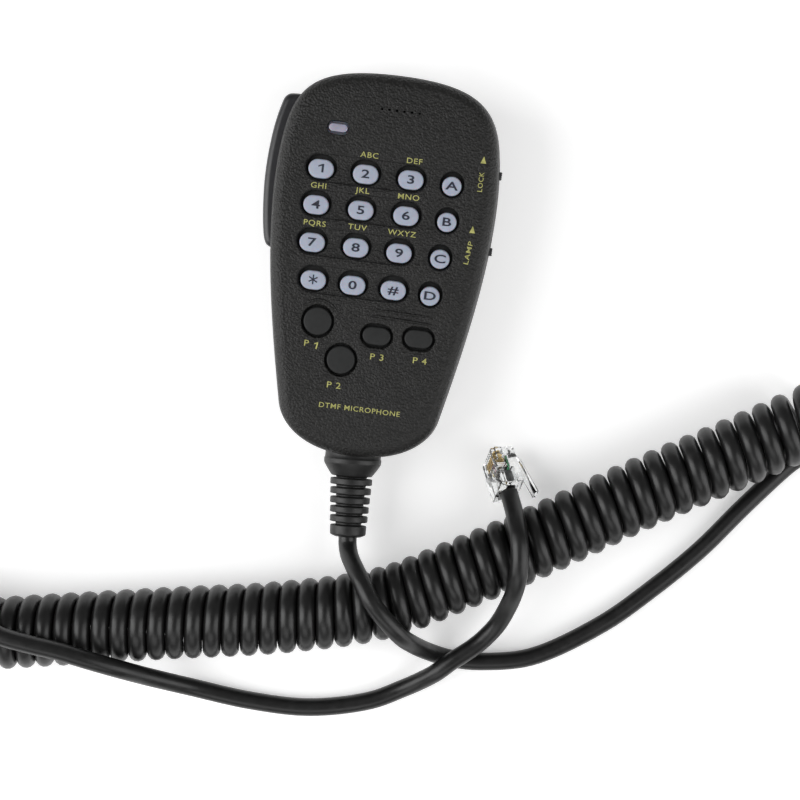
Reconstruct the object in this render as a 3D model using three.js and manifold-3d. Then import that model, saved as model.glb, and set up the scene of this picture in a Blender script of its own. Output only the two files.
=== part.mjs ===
// A push-to-talk hand microphone with a keypad, lying on its back beside its curly cord.
// Units are millimetres and +Z is up. The origin is the middle of the microphone's footprint.
// Parts of the microphone are modelled in its own frame, then the whole body is leaned back:
//   X runs to the user's right, Y to the top of the case, Z out of the keypad face,
//   with Y = 0 on the middle row of keys and Z = 0 on the flat of the back.
import * as THREE from 'three';
import { mergeVertices } from 'three/addons/utils/BufferGeometryUtils.js';
import Module from 'manifold-3d';

const wasm = await Module();
wasm.setup();

// ---------- driving dimensions ----------
const CASE_TOP = 37.5;
const CASE_BOTTOM = -66.5;
const FACE_Z = 22.5;
const PARTING_Z = 11.5;
const WALL = 2;
const GAP = 0.3;
const SEAM = 0.3;
const INNER_FACE_Z = FACE_Z - WALL;

const STUD = { y: 2, radius: 7.5, neck: 5, proud: 4 };
const HEEL_Y = -62;
const LEAN = Math.atan(STUD.proud / (STUD.y - STUD.radius - HEEL_Y));
const MIC_X = 1.05;
const MIC_Y = 26.4;
const MIC_Z = -HEEL_Y * Math.sin(LEAN);

const KEY_TOP = FACE_Z + 0.6;
const FLANGE_TOP = INNER_FACE_Z - GAP;
const FLANGE_BOTTOM = FLANGE_TOP - 1;
const OVAL_KEY = { w: 6.8, h: 5.1, wellW: 8.4, wellH: 7.1, wellRise: 0.4, flangeW: 9.2, flangeH: 8 };
const ROUND_KEY = { w: 5.2, h: 5.2, wellW: 6.8, wellH: 7.3, wellRise: 0.4, flangeW: 8.2, flangeH: 8.4 };
const P_ROUND_KEY = { w: 7.6, h: 7.6, wellW: 9.2, wellH: 9.2, wellRise: 0, flangeW: 10.2, flangeH: 10.2 };
const P_OVAL_KEY = { w: 7.6, h: 4.9, wellW: 9.2, wellH: 6.8, wellRise: 0, flangeW: 10, flangeH: 7.6 };

const KEYS = [
  ['1', -17.6, 9.6, OVAL_KEY], ['2', -5.7, 9.6, OVAL_KEY], ['3', 6.4, 9.6, OVAL_KEY],
  ['a', 17.4, 9.3, ROUND_KEY],
  ['4', -17.8, 0, OVAL_KEY], ['5', -5.8, 0, OVAL_KEY], ['6', 6.3, 0, OVAL_KEY],
  ['b', 17.3, -0.3, ROUND_KEY],
  ['7', -17.6, -10, OVAL_KEY], ['8', -5.9, -10, OVAL_KEY], ['9', 5.7, -10, OVAL_KEY],
  ['c', 16.7, -10.2, ROUND_KEY],
  ['star', -16.1, -19.9, OVAL_KEY], ['0', -5.5, -20, OVAL_KEY], ['hash', 5.4, -20, OVAL_KEY],
  ['d', 15.3, -20.3, ROUND_KEY],
  ['p1', -13.6, -30.6, P_ROUND_KEY], ['p2', -6.2, -40.1, P_ROUND_KEY],
  ['p3', 2.5, -32.6, P_OVAL_KEY], ['p4', 13.7, -32, P_OVAL_KEY],
];
const TROUGH_DEPTH = 0.5;

const LENS = { x: -14.4, y: 20.9, w: 5, h: 2.1, wellW: 6.1, wellH: 3.7 };
const SOUND_HOLES = { x: 1.5, y: 27.2, count: 6, pitch: 2, radius: 0.45 };
const CAPSULE_RADIUS = 4.85;

const SLIDERS = [['lock', 14], ['lamp', -6.5]];
const SLIDER_Z = 13.6;
const SLIDER_TRAVEL = 2;
const NUB_X = 30.9;

const PTT_WINDOW = { top: 30.3, bottom: -13, low: 4.8, high: 15.2 };
const PTT_PIVOT = { x: -26, y: -10.2 };
const PTT_PUSH_Y = 10;
const PTT_MIDDLE_Z = (PTT_WINDOW.low + PTT_WINDOW.high) / 2;

const CASE_SCREWS = [[-14, 29.3], [16.5, 28], [-15.5, -53], [15.5, -53]];
const CASE_SCREW = { head: 2.1, shank: 1, hole: 1.4, pilot: 1.3, counterbore: 2.5 };
const CLAMP = { x: 5, y: -58 };
const BOARD_Z = 15.4;
const BOARD_THICK = 1.6;
const MAT_Z = BOARD_Z + BOARD_THICK + GAP;

const RELIEF_YAW = THREE.MathUtils.degToRad(3.3);
const CORD_RADIUS = 2.5;
const COIL_RADIUS = 10;
const LEAD_SIDES = 16;

const PLUG = { width: 9.65, height: 6.6, length: 12.3, contacts: 6, pitch: 1.02 };
const PLUG_REAR = [44.5, -45.1, 12.3];
const PLUG_LIE = [-38, 114, 23];

// ---------- materials, one per mesh ----------
const LOOKS = {
  caseShell: [0x333231, 0.65, 0],
  ptt: [0x1d1d1f, 0.45, 0],
  paleKey: [0xb2b6c4, 0.5, 0],
  darkKey: [0x151516, 0.7, 0],
  cord: [0x191919, 0.4, 0],
  reliefRubber: [0x1b1b1b, 0.6, 0],
  steel: [0xb8babd, 0.3, 1],
  board: [0x1f5a38, 0.5, 0],
  boot: [0x222222, 0.8, 0],
  switchBody: [0x2b2b2e, 0.5, 0],
  clear: [0xe6ebee, 0.1, 0],
  gold: [0xc9a24c, 0.3, 1],
  white: [0xdedcd4, 0.5, 0],
  cloth: [0x101010, 0.9, 0],
};

function mesh(name, geometry, look) {
  const [color, roughness, metalness] = LOOKS[look];
  const material = new THREE.MeshStandardMaterial({ color, roughness, metalness });
  const made = new THREE.Mesh(geometry, material);
  made.name = name;
  return made;
}

// ---------- solids and booleans ----------
function toSolid(geometry) {
  const bare = geometry.clone();
  bare.deleteAttribute('normal');
  bare.deleteAttribute('uv');
  const merged = mergeVertices(bare, 1e-4);
  return new wasm.Manifold(new wasm.Mesh({
    numProp: 3,
    vertProperties: new Float32Array(merged.attributes.position.array),
    triVerts: new Uint32Array(merged.index.array),
  }));
}

function toGeometry(solid) {
  const { vertProperties, triVerts } = solid.getMesh();
  const geometry = new THREE.BufferGeometry();
  geometry.setAttribute('position', new THREE.BufferAttribute(new Float32Array(vertProperties), 3));
  geometry.setIndex(new THREE.BufferAttribute(new Uint32Array(triVerts), 1));
  geometry.computeVertexNormals();
  return geometry;
}

function join(geometries) {
  return toGeometry(geometries.map(toSolid).reduce((all, next) => all.add(next)));
}

function cut(geometry, tools) {
  return toGeometry(tools.map(toSolid).reduce((left, tool) => left.subtract(tool), toSolid(geometry)));
}

// ---------- small shapes, all placed where they belong ----------
function box(x0, x1, y0, y1, z0, z1) {
  const geometry = new THREE.BoxGeometry(x1 - x0, y1 - y0, z1 - z0);
  return geometry.translate((x0 + x1) / 2, (y0 + y1) / 2, (z0 + z1) / 2);
}

function rod(x, y, radius, z0, z1, sides = 12) {
  const geometry = new THREE.CylinderGeometry(radius, radius, z1 - z0, sides);
  return geometry.rotateX(Math.PI / 2).translate(x, y, (z0 + z1) / 2);
}

// A plate between two heights whose outline is a list of [x, y].
function plate(points, z0, z1) {
  const outline = new THREE.Shape(points.map(([x, y]) => new THREE.Vector2(x, y)));
  return new THREE.ExtrudeGeometry(outline, { depth: z1 - z0, bevelEnabled: false }).translate(0, 0, z0);
}

// Points round a slot with half-round ends, or a circle where the two sides are equal.
function slotOutline(x, y, width, height, inset = 0, perEnd = 7) {
  const radius = Math.min(width, height) / 2 - inset;
  const reach = Math.abs(width - height) / 2;
  const upright = height > width;
  const step = Math.PI / (reach === 0 ? perEnd : perEnd - 1);
  return Array.from({ length: 2 * perEnd }, (_, i) => {
    const end = i < perEnd ? 1 : -1;
    const angle = -end * Math.PI / 2 + step * (i % perEnd);
    const [a, b] = [end * reach + radius * Math.cos(angle), radius * Math.sin(angle)];
    return upright ? [x - b, y + a] : [x + a, y + b];
  });
}

function slotPlate(x, y, width, height, z0, z1) {
  return plate(slotOutline(x, y, width, height), z0, z1);
}

// A closed solid through rings of points; every ring has as many points as the first.
function loft(rings) {
  const count = rings[0].length;
  const positions = rings.flat(2);
  const faces = THREE.ShapeUtils.triangulateShape(rings[0].map(([x, y]) => new THREE.Vector2(x, y)), []);
  const last = (rings.length - 1) * count;
  const index = faces.flatMap(([a, b, c]) => [a, c, b, last + a, last + b, last + c]);
  for (let ring = 0; ring < rings.length - 1; ring += 1) {
    for (let i = 0; i < count; i += 1) {
      const a = ring * count + i;
      const b = ring * count + (i + 1) % count;
      index.push(a, b, b + count, a, b + count, a + count);
    }
  }
  const geometry = new THREE.BufferGeometry();
  geometry.setAttribute('position', new THREE.Float32BufferAttribute(positions, 3));
  geometry.setIndex(index);
  return geometry;
}

function tube(points, radius, sides, steps) {
  const section = new THREE.Shape(Array.from({ length: sides }, (_, i) => {
    const angle = 2 * Math.PI * i / sides;
    return new THREE.Vector2(radius * Math.cos(angle), radius * Math.sin(angle));
  }));
  const path = new THREE.CatmullRomCurve3(points.map((p) => new THREE.Vector3(...p)), false, 'centripetal');
  return new THREE.ExtrudeGeometry(section, { steps, extrudePath: path, bevelEnabled: false });
}

// ---------- the case ----------
// Right half of the outline from the crown to the foot: three curves that run on smoothly.
const CASE_CURVES = [
  [[0, CASE_TOP], [20.9, CASE_TOP], [27.2, 32.4], [29.3, 20.1], 8],
  [[29.3, 20.1], [33.2, -2.2], [26.4, -34], [22.1, -53.9], 6],
  [[22.1, -53.9], [20.9, -59.8], [14.2, CASE_BOTTOM], [0, CASE_BOTTOM], 7],
];

// The case outline drawn in by a distance, anticlockwise from the foot.
function caseOutline(inset) {
  const right = CASE_CURVES.flatMap(([a, b, c, d, steps], part) => {
    const curve = new THREE.CubicBezierCurve(...[a, b, c, d].map((p) => new THREE.Vector2(...p)));
    return Array.from({ length: steps + (part === CASE_CURVES.length - 1 ? 1 : 0) }, (_, i) => {
      const point = curve.getPoint(i / steps);
      const along = curve.getTangent(i / steps);
      return [point.x + along.y * inset, point.y - along.x * inset];
    });
  }).reverse();
  const left = right.slice(1, -1).reverse().map(([x, y]) => [-x, y]);
  return [...right, ...left];
}

function caseLoft(levels) {
  return loft(levels.map(([z, inset]) => caseOutline(inset).map(([x, y]) => [x, y, z])));
}

// Levels of a rounded edge that ends flat at height z.
function roundedLevels(z, radius, inset, direction, steps = 3) {
  return Array.from({ length: steps + 1 }, (_, i) => {
    const angle = Math.PI / 2 * i / steps;
    const height = z - direction * radius * (1 - Math.sin(angle));
    return [height, inset + radius * (1 - Math.cos(angle))];
  });
}

function pttWindow() {
  const { bottom, top, low, high } = PTT_WINDOW;
  return box(-40, -20.8, bottom, top, low, high);
}

function keyRows() {
  return [KEYS.slice(0, 3), KEYS.slice(4, 7), KEYS.slice(8, 11), KEYS.slice(12, 15)];
}

function frontShell() {
  const outer = caseLoft([[PARTING_Z + SEAM / 2, 0], [18.5, 0.7], ...roundedLevels(FACE_Z, 2.2, 0.7, 1)]);
  const hollow = caseLoft([[PARTING_Z - 1, WALL], [18.5, WALL + 0.7], [INNER_FACE_Z, WALL + 2]]);
  const bosses = CASE_SCREWS.map(([x, y]) => rod(x, y, 2.8, 13, INNER_FACE_Z + 0.5));
  const pivotBoss = rod(PTT_PIVOT.x, PTT_PIVOT.y, 2.2, 15.5, INNER_FACE_Z + 0.5);
  const body = join([cut(outer, [hollow]), ...bosses, pivotBoss]);
  const wells = KEYS.map(([, x, y, size]) => (
    slotPlate(x, y + size.wellRise, size.wellW, size.wellH, INNER_FACE_Z - 0.2, FACE_Z + 1)));
  const troughs = keyRows().map((row) => {
    const middle = (row[0][1] + row[2][1]) / 2;
    const width = row[2][1] - row[0][1] + OVAL_KEY.wellW;
    const y = row[1][2] + OVAL_KEY.wellRise;
    return slotPlate(middle, y, width, OVAL_KEY.wellH, FACE_Z - TROUGH_DEPTH, FACE_Z + 1);
  });
  const lensWell = slotPlate(LENS.x, LENS.y, LENS.wellW, LENS.wellH, INNER_FACE_Z - 1, FACE_Z + 1);
  const soundHoles = Array.from({ length: SOUND_HOLES.count }, (_, i) => {
    const x = SOUND_HOLES.x + (i - (SOUND_HOLES.count - 1) / 2) * SOUND_HOLES.pitch;
    return rod(x, SOUND_HOLES.y, SOUND_HOLES.radius, INNER_FACE_Z - 1, FACE_Z + 1, 8);
  });
  const pilots = CASE_SCREWS.map(([x, y]) => rod(x, y, CASE_SCREW.pilot, 12, 18.3, 10));
  const pivotHole = rod(PTT_PIVOT.x, PTT_PIVOT.y, 1.3, 15, 16.9, 10);
  const slots = SLIDERS.map(([, y]) => (
    box(24, 34, y - 1.5, y + 1.5 + SLIDER_TRAVEL, SLIDER_Z - 1.1, SLIDER_Z + 1.1)));
  return cut(body, [
    ...wells, ...troughs, lensWell, ...soundHoles, ...pilots, pivotHole, ...slots, pttWindow(), reliefHole(),
  ]);
}

function reliefHole() {
  return new THREE.CylinderGeometry(4.4, 4.4, 10, 16).translate(0, CASE_BOTTOM, PARTING_Z);
}

function rearShell() {
  const rounding = roundedLevels(0, 3, 1.5, -1);
  const outer = caseLoft([...rounding.reverse(), [PARTING_Z - SEAM / 2, 0.15]]);
  const hollow = caseLoft([[WALL, WALL + 3], [4.5, WALL + 1.6], [PARTING_Z + 1, WALL + 0.15]]);
  const bosses = CASE_SCREWS.map(([x, y]) => rod(x, y, 3.2, 1, 12.6));
  const pivotBoss = rod(PTT_PIVOT.x, PTT_PIVOT.y, 2.2, 1.8, 4.5);
  const clampPosts = [-CLAMP.x, CLAMP.x].map((x) => rod(x, CLAMP.y, 1.9, 1, 14));
  const body = join([cut(outer, [hollow]), ...bosses, pivotBoss, ...clampPosts]);
  const counterbores = CASE_SCREWS.map(([x, y]) => rod(x, y, CASE_SCREW.counterbore, -1, 3));
  const holes = CASE_SCREWS.map(([x, y]) => rod(x, y, CASE_SCREW.hole, 2, 14));
  const pivotHole = rod(PTT_PIVOT.x, PTT_PIVOT.y, 1.3, 2.8, 5, 10);
  const clampPilot = rod(CLAMP.x, CLAMP.y, 1, 9.5, 15, 10);
  const studHole = rod(0, STUD.y, 1.8, -1, 3, 10);
  return cut(body, [...counterbores, ...holes, pivotHole, clampPilot, studHole, pttWindow(), reliefHole()]);
}

function caseScrew(index) {
  const [x, y] = CASE_SCREWS[index];
  return join([rod(x, y, CASE_SCREW.head, 0.9, 2.7), rod(x, y, CASE_SCREW.shank, 2.5, 17.8, 10)]);
}

// ---------- keypad and board ----------
function keyCap([, x, y, size]) {
  const steps = [[FLANGE_TOP - 0.1, 0], [KEY_TOP - 0.7, 0.25], [KEY_TOP, 0.9]];
  const cap = loft(steps.map(([z, inset]) => (
    slotOutline(x, y, size.w, size.h, inset, 9).map((point) => [...point, z]))));
  return join([slotPlate(x, y, size.flangeW, size.flangeH, FLANGE_BOTTOM, FLANGE_TOP), cap]);
}

function lens() {
  const { x, y, w, h } = LENS;
  const flange = slotPlate(x, y, w + 2, h + 2.4, FLANGE_BOTTOM, FLANGE_TOP);
  return join([flange, slotPlate(x, y, w, h, MAT_Z + 1, FACE_Z + 0.1)]);
}

// The board narrows with the case and steps back from the capsule at its top edge.
function boardOutline(inset) {
  const [left, right, top, step] = [-20.6 + inset, 22.5 - inset, 23.5 - inset, 19.8 - inset];
  return [
    [left, top], [left - 0.5, -8], [-19 + inset, -46 + inset], [19 - inset, -46 + inset],
    [right, -8], [right, step], [-7 - inset, step], [-7 - inset, top],
  ];
}

function board() {
  return plate(boardOutline(0), BOARD_Z, BOARD_Z + BOARD_THICK);
}

function keypadMat() {
  return plate(boardOutline(0.6), MAT_Z, MAT_Z + 0.6);
}

// ---------- microphone capsule ----------
function capsule() {
  return rod(SOUND_HOLES.x, SOUND_HOLES.y, CAPSULE_RADIUS, 14.8, 19.3, 20);
}

function capsuleBoot() {
  const outer = rod(SOUND_HOLES.x, SOUND_HOLES.y, CAPSULE_RADIUS + 1.6, 13.3, FLANGE_TOP, 20);
  const bore = rod(SOUND_HOLES.x, SOUND_HOLES.y, CAPSULE_RADIUS + 0.2, 14.5, INNER_FACE_Z, 20);
  return cut(outer, [bore]);
}

function dustCloth() {
  return rod(SOUND_HOLES.x, SOUND_HOLES.y, CAPSULE_RADIUS - 0.1, 19.6, 19.9, 20);
}

// ---------- push-to-talk bar ----------
const PTT_OUTLINE = [
  [-24, 29.4], [-28.6, 29.6], [-30.5, 28.8], [-31.4, 26.6], [-32.3, 20.5], [-32.9, 13], [-33, 6],
  [-32.7, 0], [-32, -6.5], [-31.2, -10.5], [-30.4, -12], [-29, -12.7], [-25, -12.7], [-23.6, -8.4],
  [-27.2, -4.5], [-27.2, 12], [-24.9, 15], [-23.9, 23.6],
];

function pttBar() {
  const bar = plate(PTT_OUTLINE, PTT_WINDOW.low + 0.5, PTT_WINDOW.high - 0.5);
  const stop = plate([[-25.3, 16], [-24.3, 16], [-23.4, 23.4], [-24.3, 23.4]], 3.8, 16.2);
  const pusher = box(-28, -24.2, PTT_PUSH_Y - 2, PTT_PUSH_Y + 2, PTT_MIDDLE_Z - 1.5, PTT_MIDDLE_Z + 1.5);
  const bore = rod(PTT_PIVOT.x, PTT_PIVOT.y, 1.3, 0, 20);
  const springRoom = rod(PTT_PIVOT.x, PTT_PIVOT.y, 2.9, PTT_MIDDLE_Z - 2, PTT_MIDDLE_Z + 2, 16);
  const legRoom = box(-28, -20, -10.2, -6.4, PTT_MIDDLE_Z - 2, PTT_MIDDLE_Z + 2);
  return cut(join([bar, stop, pusher]), [bore, springRoom, legRoom]);
}

function pttPin() {
  return rod(PTT_PIVOT.x, PTT_PIVOT.y, 1, 3.1, 16.6);
}

// A torsion spring round the pin: three turns, one leg along the bar and one into the case.
function pttSpring() {
  const { x, y } = PTT_PIVOT;
  const [coil, wire, turns, perTurn] = [1.9, 0.25, 3, 8];
  const turned = Array.from({ length: turns * perTurn + 1 }, (_, i) => {
    const angle = 2 * Math.PI * i / perTurn;
    const z = PTT_MIDDLE_Z - 1.2 + 0.8 * i / perTurn;
    return [x + coil * Math.cos(angle), y + coil * Math.sin(angle), z];
  });
  const foot = [[x + coil, y - 5, PTT_MIDDLE_Z - 1.4], [x + coil, y - 2.5, PTT_MIDDLE_Z - 1.3]];
  const arm = [[x + coil, y + 2.5, PTT_MIDDLE_Z + 1.3], [x + coil, y + 6, PTT_MIDDLE_Z + 1.4]];
  return tube([...foot, ...turned, ...arm], wire, 6, 60);
}

function pttSwitch() {
  const body = box(-21.3, -14.5, PTT_PUSH_Y - 3.5, PTT_PUSH_Y + 3.5, 6.6, BOARD_Z - GAP);
  const bore = new THREE.CylinderGeometry(1.35, 1.35, 8, 12).rotateZ(Math.PI / 2);
  return cut(body, [bore.translate(-21.3, PTT_PUSH_Y, PTT_MIDDLE_Z)]);
}

function pttPlunger() {
  const plunger = new THREE.CylinderGeometry(1, 1, 5.2, 12).rotateZ(Math.PI / 2);
  return plunger.translate(-24.2 + GAP + 2.6, PTT_PUSH_Y, PTT_MIDDLE_Z);
}

// ---------- lock and lamp slide switches ----------
function slider(y) {
  const nub = box(26.5, NUB_X, y - 1.1, y + 1.1, SLIDER_Z - 0.8, SLIDER_Z + 0.8);
  const guide = box(26, 26.8, y - 3.2, y + 3.2, SLIDER_Z - 1.8, SLIDER_Z + 1.8);
  const stem = box(23.6, 26.2, y - 0.9, y + 0.9, SLIDER_Z - 0.6, SLIDER_Z + 0.6);
  return join([nub, guide, stem]);
}

function slideSwitch(y) {
  const body = box(18.4, 24.8, y - 3, y + 5, SLIDER_Z - 2.2, BOARD_Z - GAP);
  const track = box(23.2, 26, y - 1.3, y + 1.3 + SLIDER_TRAVEL, SLIDER_Z - 1, SLIDER_Z + 1);
  return cut(body, [track]);
}

// ---------- hang-up stud on the back ----------
function stud() {
  const { proud, neck, radius } = STUD;
  const profile = [
    [1.7, -GAP], [neck, -GAP], [neck, -1.9], [radius - 0.6, -2], [radius, -2.5], [radius, -proud + 0.5],
    [radius - 0.3, -proud], [3, -proud], [3, -proud + 1.8], [1.7, -proud + 1.8], [1.7, -GAP],
  ];
  const points = profile.map(([r, z]) => new THREE.Vector2(r, z)).reverse();
  return new THREE.LatheGeometry(points, 24).rotateX(Math.PI / 2).translate(0, STUD.y, 0);
}

function studScrew() {
  return join([rod(0, STUD.y, 2.6, -3.8, -2.5), rod(0, STUD.y, 1.25, -2.6, 4.6)]);
}

function studNutPlate() {
  const blank = box(-5, 5, STUD.y - 4, STUD.y + 4, WALL + GAP, WALL + GAP + 1.2);
  return cut(blank, [rod(0, STUD.y, 1.6, 0, 6)]);
}

// ---------- cord entry ----------
// Distances run along the strain relief from the case's outer face.
function strainRelief() {
  const [core, ribPitch, ribWidth, ribs, firstRib, collarStart, end] = [4.1, 2.6, 1.9, 5, 6.2, 19, 22.1];
  const coreAt = (s) => core - 0.6 * (s - firstRib) / (collarStart - firstRib);
  const ribbed = Array.from({ length: ribs }, (_, i) => {
    const start = firstRib + i * ribPitch;
    const rib = 5.4 - 0.15 * i;
    const stop = start + ribWidth;
    return [[start, coreAt(start)], [start + 0.2, rib], [stop - 0.2, rib], [stop, coreAt(stop)]];
  }).flat();
  const stations = [
    [-5.6, 0], [-5.6, 5.5], [-4.2, 5.5], [-4.2, 4], [GAP, 4],
    [GAP, 7.2], [1, 7.7], [2.2, 7.4], [4.4, 5.6], [5.6, 4.9],
    ...ribbed,
    [collarStart, 3.5], [collarStart + 0.3, 4.8], [end - 1, 4.6], [end, 3.6], [end, 0],
  ];
  const points = stations.map(([s, r]) => new THREE.Vector2(r, s));
  const turned = new THREE.LatheGeometry(points, 20).rotateX(Math.PI);
  return turned.rotateX(-LEAN).rotateZ(RELIEF_YAW).translate(0, CASE_BOTTOM, PARTING_Z);
}

function cordClamp() {
  const blank = box(-CLAMP.x - 2.2, CLAMP.x + 2.2, CLAMP.y - 2, CLAMP.y + 2, 14.3, 16.1);
  return cut(blank, [rod(CLAMP.x, CLAMP.y, 1.3, 13, 18)]);
}

function clampScrew() {
  return join([rod(CLAMP.x, CLAMP.y, 2, 16.3, 17.6), rod(CLAMP.x, CLAMP.y, 0.75, 10, 16.4, 10)]);
}

function wireHeader() {
  return box(-1.5, 7.5, -41, -36, 12, BOARD_Z - GAP);
}

// The cord's jacket inside the case, then its wires drawn together as one bundle.
function innerWires() {
  const jacket = new THREE.CylinderGeometry(CORD_RADIUS - 0.2, CORD_RADIUS - 0.2, 4, 12);
  const route = [[0, -57, PARTING_Z], [0, -52, 11], [1, -47.5, 10.3], [2.6, -44.6, 12.6], [3, -41.6, 13.4]];
  return join([jacket.translate(0, -58.1, PARTING_Z), tube(route, 1.3, 8, 12)]);
}

// ---------- the plug ----------
// In the plug's own frame Y runs from its rear face to its nose and Z towards its latch.
const SLOT_WIDTH = 0.7;

function contactX(i) {
  return (i - (PLUG.contacts - 1) / 2) * PLUG.pitch;
}

function plugBody() {
  const { width, height, length } = PLUG;
  const blank = box(-width / 2, width / 2, 0, length, -height / 2, height / 2);
  const cavity = box(-3.1, 3.1, -1, 6, -1.2, 2);
  const noseSteps = [-1, 1].map((side) => (
    box(side * width / 2 - 0.8, side * width / 2 + 0.8, 8, length + 1, -height, -height / 2 + 1)));
  const slots = Array.from({ length: PLUG.contacts }, (_, i) => {
    const [left, right] = [contactX(i) - SLOT_WIDTH / 2, contactX(i) + SLOT_WIDTH / 2];
    return box(left, right, 7.5, length + 1, -height, -height / 2 + 3.4);
  });
  return cut(blank, [cavity, ...noseSteps, ...slots]);
}

function plugContact(i) {
  const low = -PLUG.height / 2 + 0.5;
  return box(contactX(i) - 0.16, contactX(i) + 0.16, 7.9, PLUG.length - 0.5, low, low + 2.6);
}

function plugLatch() {
  const side = [
    [0, 0.35], [0, 1.6], [-3, 2.8], [-13.4, 4.9], [-13.4, 4], [-3.2, 1.7], [-1.3, 1.2], [-1.3, 0.35],
  ];
  const lever = plate(side, -1.6, 1.6);
  return lever.rotateZ(Math.PI / 2).rotateY(Math.PI / 2).translate(0, PLUG.length, PLUG.height / 2);
}

// ---------- where the cord lies ----------
const COIL_AXIS = [
  [-118.5, -106.6, 10.1], [-89.1, -101.1, 10.1], [-45, -92.9, 10.1], [-11, -86.7, 10.1], [14.4, -79.7, 10.1],
  [34.4, -69.2, 10.1], [56.3, -56.4, 10.1], [78.9, -42.2, 10.1], [106, -26.2, 11], [124.9, -14.5, 13.3],
];
const LEAD_FROM_MIC = [
  [2.4, -63.3, 11.2], [2.6, -64.9, 11.4], [3.4, -67.4, 13.4], [4.8, -69.6, 16.4], [7.6, -73.4, 20.8],
  [11.2, -78.6, 23], [15.6, -83, 22.6], [20, -87, 19.8], [24.5, -90, 12.6], [29, -92.2, 5.6],
  [33.5, -93.4, 2.8], [37.8, -93.7, 2.6], [43.4, -93.4, 2.6], [57, -90.4, 2.6], [75.3, -79, 2.6],
  [87.9, -67.6, 2.6], [100.2, -54.7, 2.6], [110, -42.2, 2.6], [118.4, -32, 2.6], [121.8, -28.2, 2.6],
  [125.3, -24.9, 2.6], [129.2, -21, 2.7], [131.1, -17.4, 3.2], [130.6, -14, 4.3], [128.2, -11.3, 5.6],
];
const LEAD_TO_PLUG = [
  [-121.8, -106.6, 2.7], [-123, -102.3, 2.6], [-121.9, -96.2, 2.6], [-117.3, -91.6, 3.1],
  [-111.4, -90, 5.6], [-105.2, -90.3, 10.5], [-102.3, -91.1, 14.8], [-99.3, -92.8, 18.8],
  [-93.8, -96.8, 22.4], [-86.4, -99.9, 23.1], [-78.2, -101.2, 23], [-70.2, -102.2, 22.4],
  [-62.4, -103.8, 20.9], [-54.6, -105.6, 17.7], [-46.9, -107.9, 10.8], [-36, -110.2, 4.6],
  [-19, -112.2, 2.7], [-2.2, -112, 2.6], [14.2, -108, 2.7], [22.2, -103.8, 3.2], [27.4, -100.4, 5.2],
  [31.5, -97, 8.1], [35, -93.5, 9], [38.5, -90.6, 9.1], [41.8, -87.6, 9.1], [45.9, -82, 10.8],
  [48.2, -75.6, 15.2], [49, -71.3, 19.4], [49.3, -66.8, 22.2], [49, -61.8, 23.1], [48.2, -57, 22.6],
  [47.3, -53.2, 20.2], [46.4, -50, 17], [45.5, -47.5, 14.3], [44.6, -45.3, 12.5],
];

// ---------- putting it together ----------
function microphone() {
  const body = new THREE.Group();
  body.add(mesh('front_shell', frontShell(), 'caseShell'));
  body.add(mesh('rear_shell', rearShell(), 'caseShell'));
  CASE_SCREWS.forEach((_, i) => body.add(mesh(`case_screw_${i + 1}`, caseScrew(i), 'steel')));
  KEYS.forEach((key) => {
    const [name] = key;
    body.add(mesh(`key_${name}`, keyCap(key), name.startsWith('p') ? 'darkKey' : 'paleKey'));
  });
  body.add(mesh('indicator_lens', lens(), 'clear'));
  body.add(mesh('keypad_mat', keypadMat(), 'white'));
  body.add(mesh('main_board', board(), 'board'));
  body.add(mesh('mic_capsule', capsule(), 'steel'));
  body.add(mesh('capsule_boot', capsuleBoot(), 'boot'));
  body.add(mesh('dust_cloth', dustCloth(), 'cloth'));
  body.add(mesh('ptt_bar', pttBar(), 'ptt'));
  body.add(mesh('ptt_pivot_pin', pttPin(), 'steel'));
  body.add(mesh('ptt_spring', pttSpring(), 'steel'));
  body.add(mesh('ptt_switch', pttSwitch(), 'switchBody'));
  body.add(mesh('ptt_plunger', pttPlunger(), 'white'));
  SLIDERS.forEach(([name, y]) => {
    body.add(mesh(`${name}_slider`, slider(y), 'ptt'));
    body.add(mesh(`${name}_switch`, slideSwitch(y), 'switchBody'));
  });
  body.add(mesh('hanger_stud', stud(), 'ptt'));
  body.add(mesh('stud_screw', studScrew(), 'steel'));
  body.add(mesh('stud_nut_plate', studNutPlate(), 'steel'));
  body.add(mesh('strain_relief', strainRelief(), 'reliefRubber'));
  body.add(mesh('cord_clamp', cordClamp(), 'switchBody'));
  body.add(mesh('clamp_screw', clampScrew(), 'steel'));
  body.add(mesh('wire_header', wireHeader(), 'white'));
  body.add(mesh('inner_wires', innerWires(), 'cord'));
  body.rotation.x = LEAN;
  body.position.set(MIC_X, MIC_Y, MIC_Z);
  return body;
}

function plug() {
  const assembly = new THREE.Group();
  assembly.add(mesh('plug_body', plugBody(), 'clear'));
  assembly.add(mesh('plug_latch', plugLatch(), 'clear'));
  for (let i = 0; i < PLUG.contacts; i += 1) {
    assembly.add(mesh(`plug_contact_${i + 1}`, plugContact(i), 'gold'));
  }
  const [pitch, roll, yaw] = PLUG_LIE.map(THREE.MathUtils.degToRad);
  assembly.rotation.set(pitch, roll, yaw, 'ZXY');
  assembly.position.set(...PLUG_REAR);
  return assembly;
}

const model = new THREE.Group();
model.name = 'hand_microphone';
model.add(microphone());
model.add(plug());
model.add(mesh('cord_lead_mic', tube(LEAD_FROM_MIC, CORD_RADIUS, LEAD_SIDES, 34), 'cord'));
model.add(mesh('cord_coil', tube(COIL_AXIS, COIL_RADIUS, 12, 14), 'cord'));
model.add(mesh('cord_lead_plug', tube(LEAD_TO_PLUG, CORD_RADIUS, LEAD_SIDES, 38), 'cord'));
model.updateMatrixWorld(true);

export default model;
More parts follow.
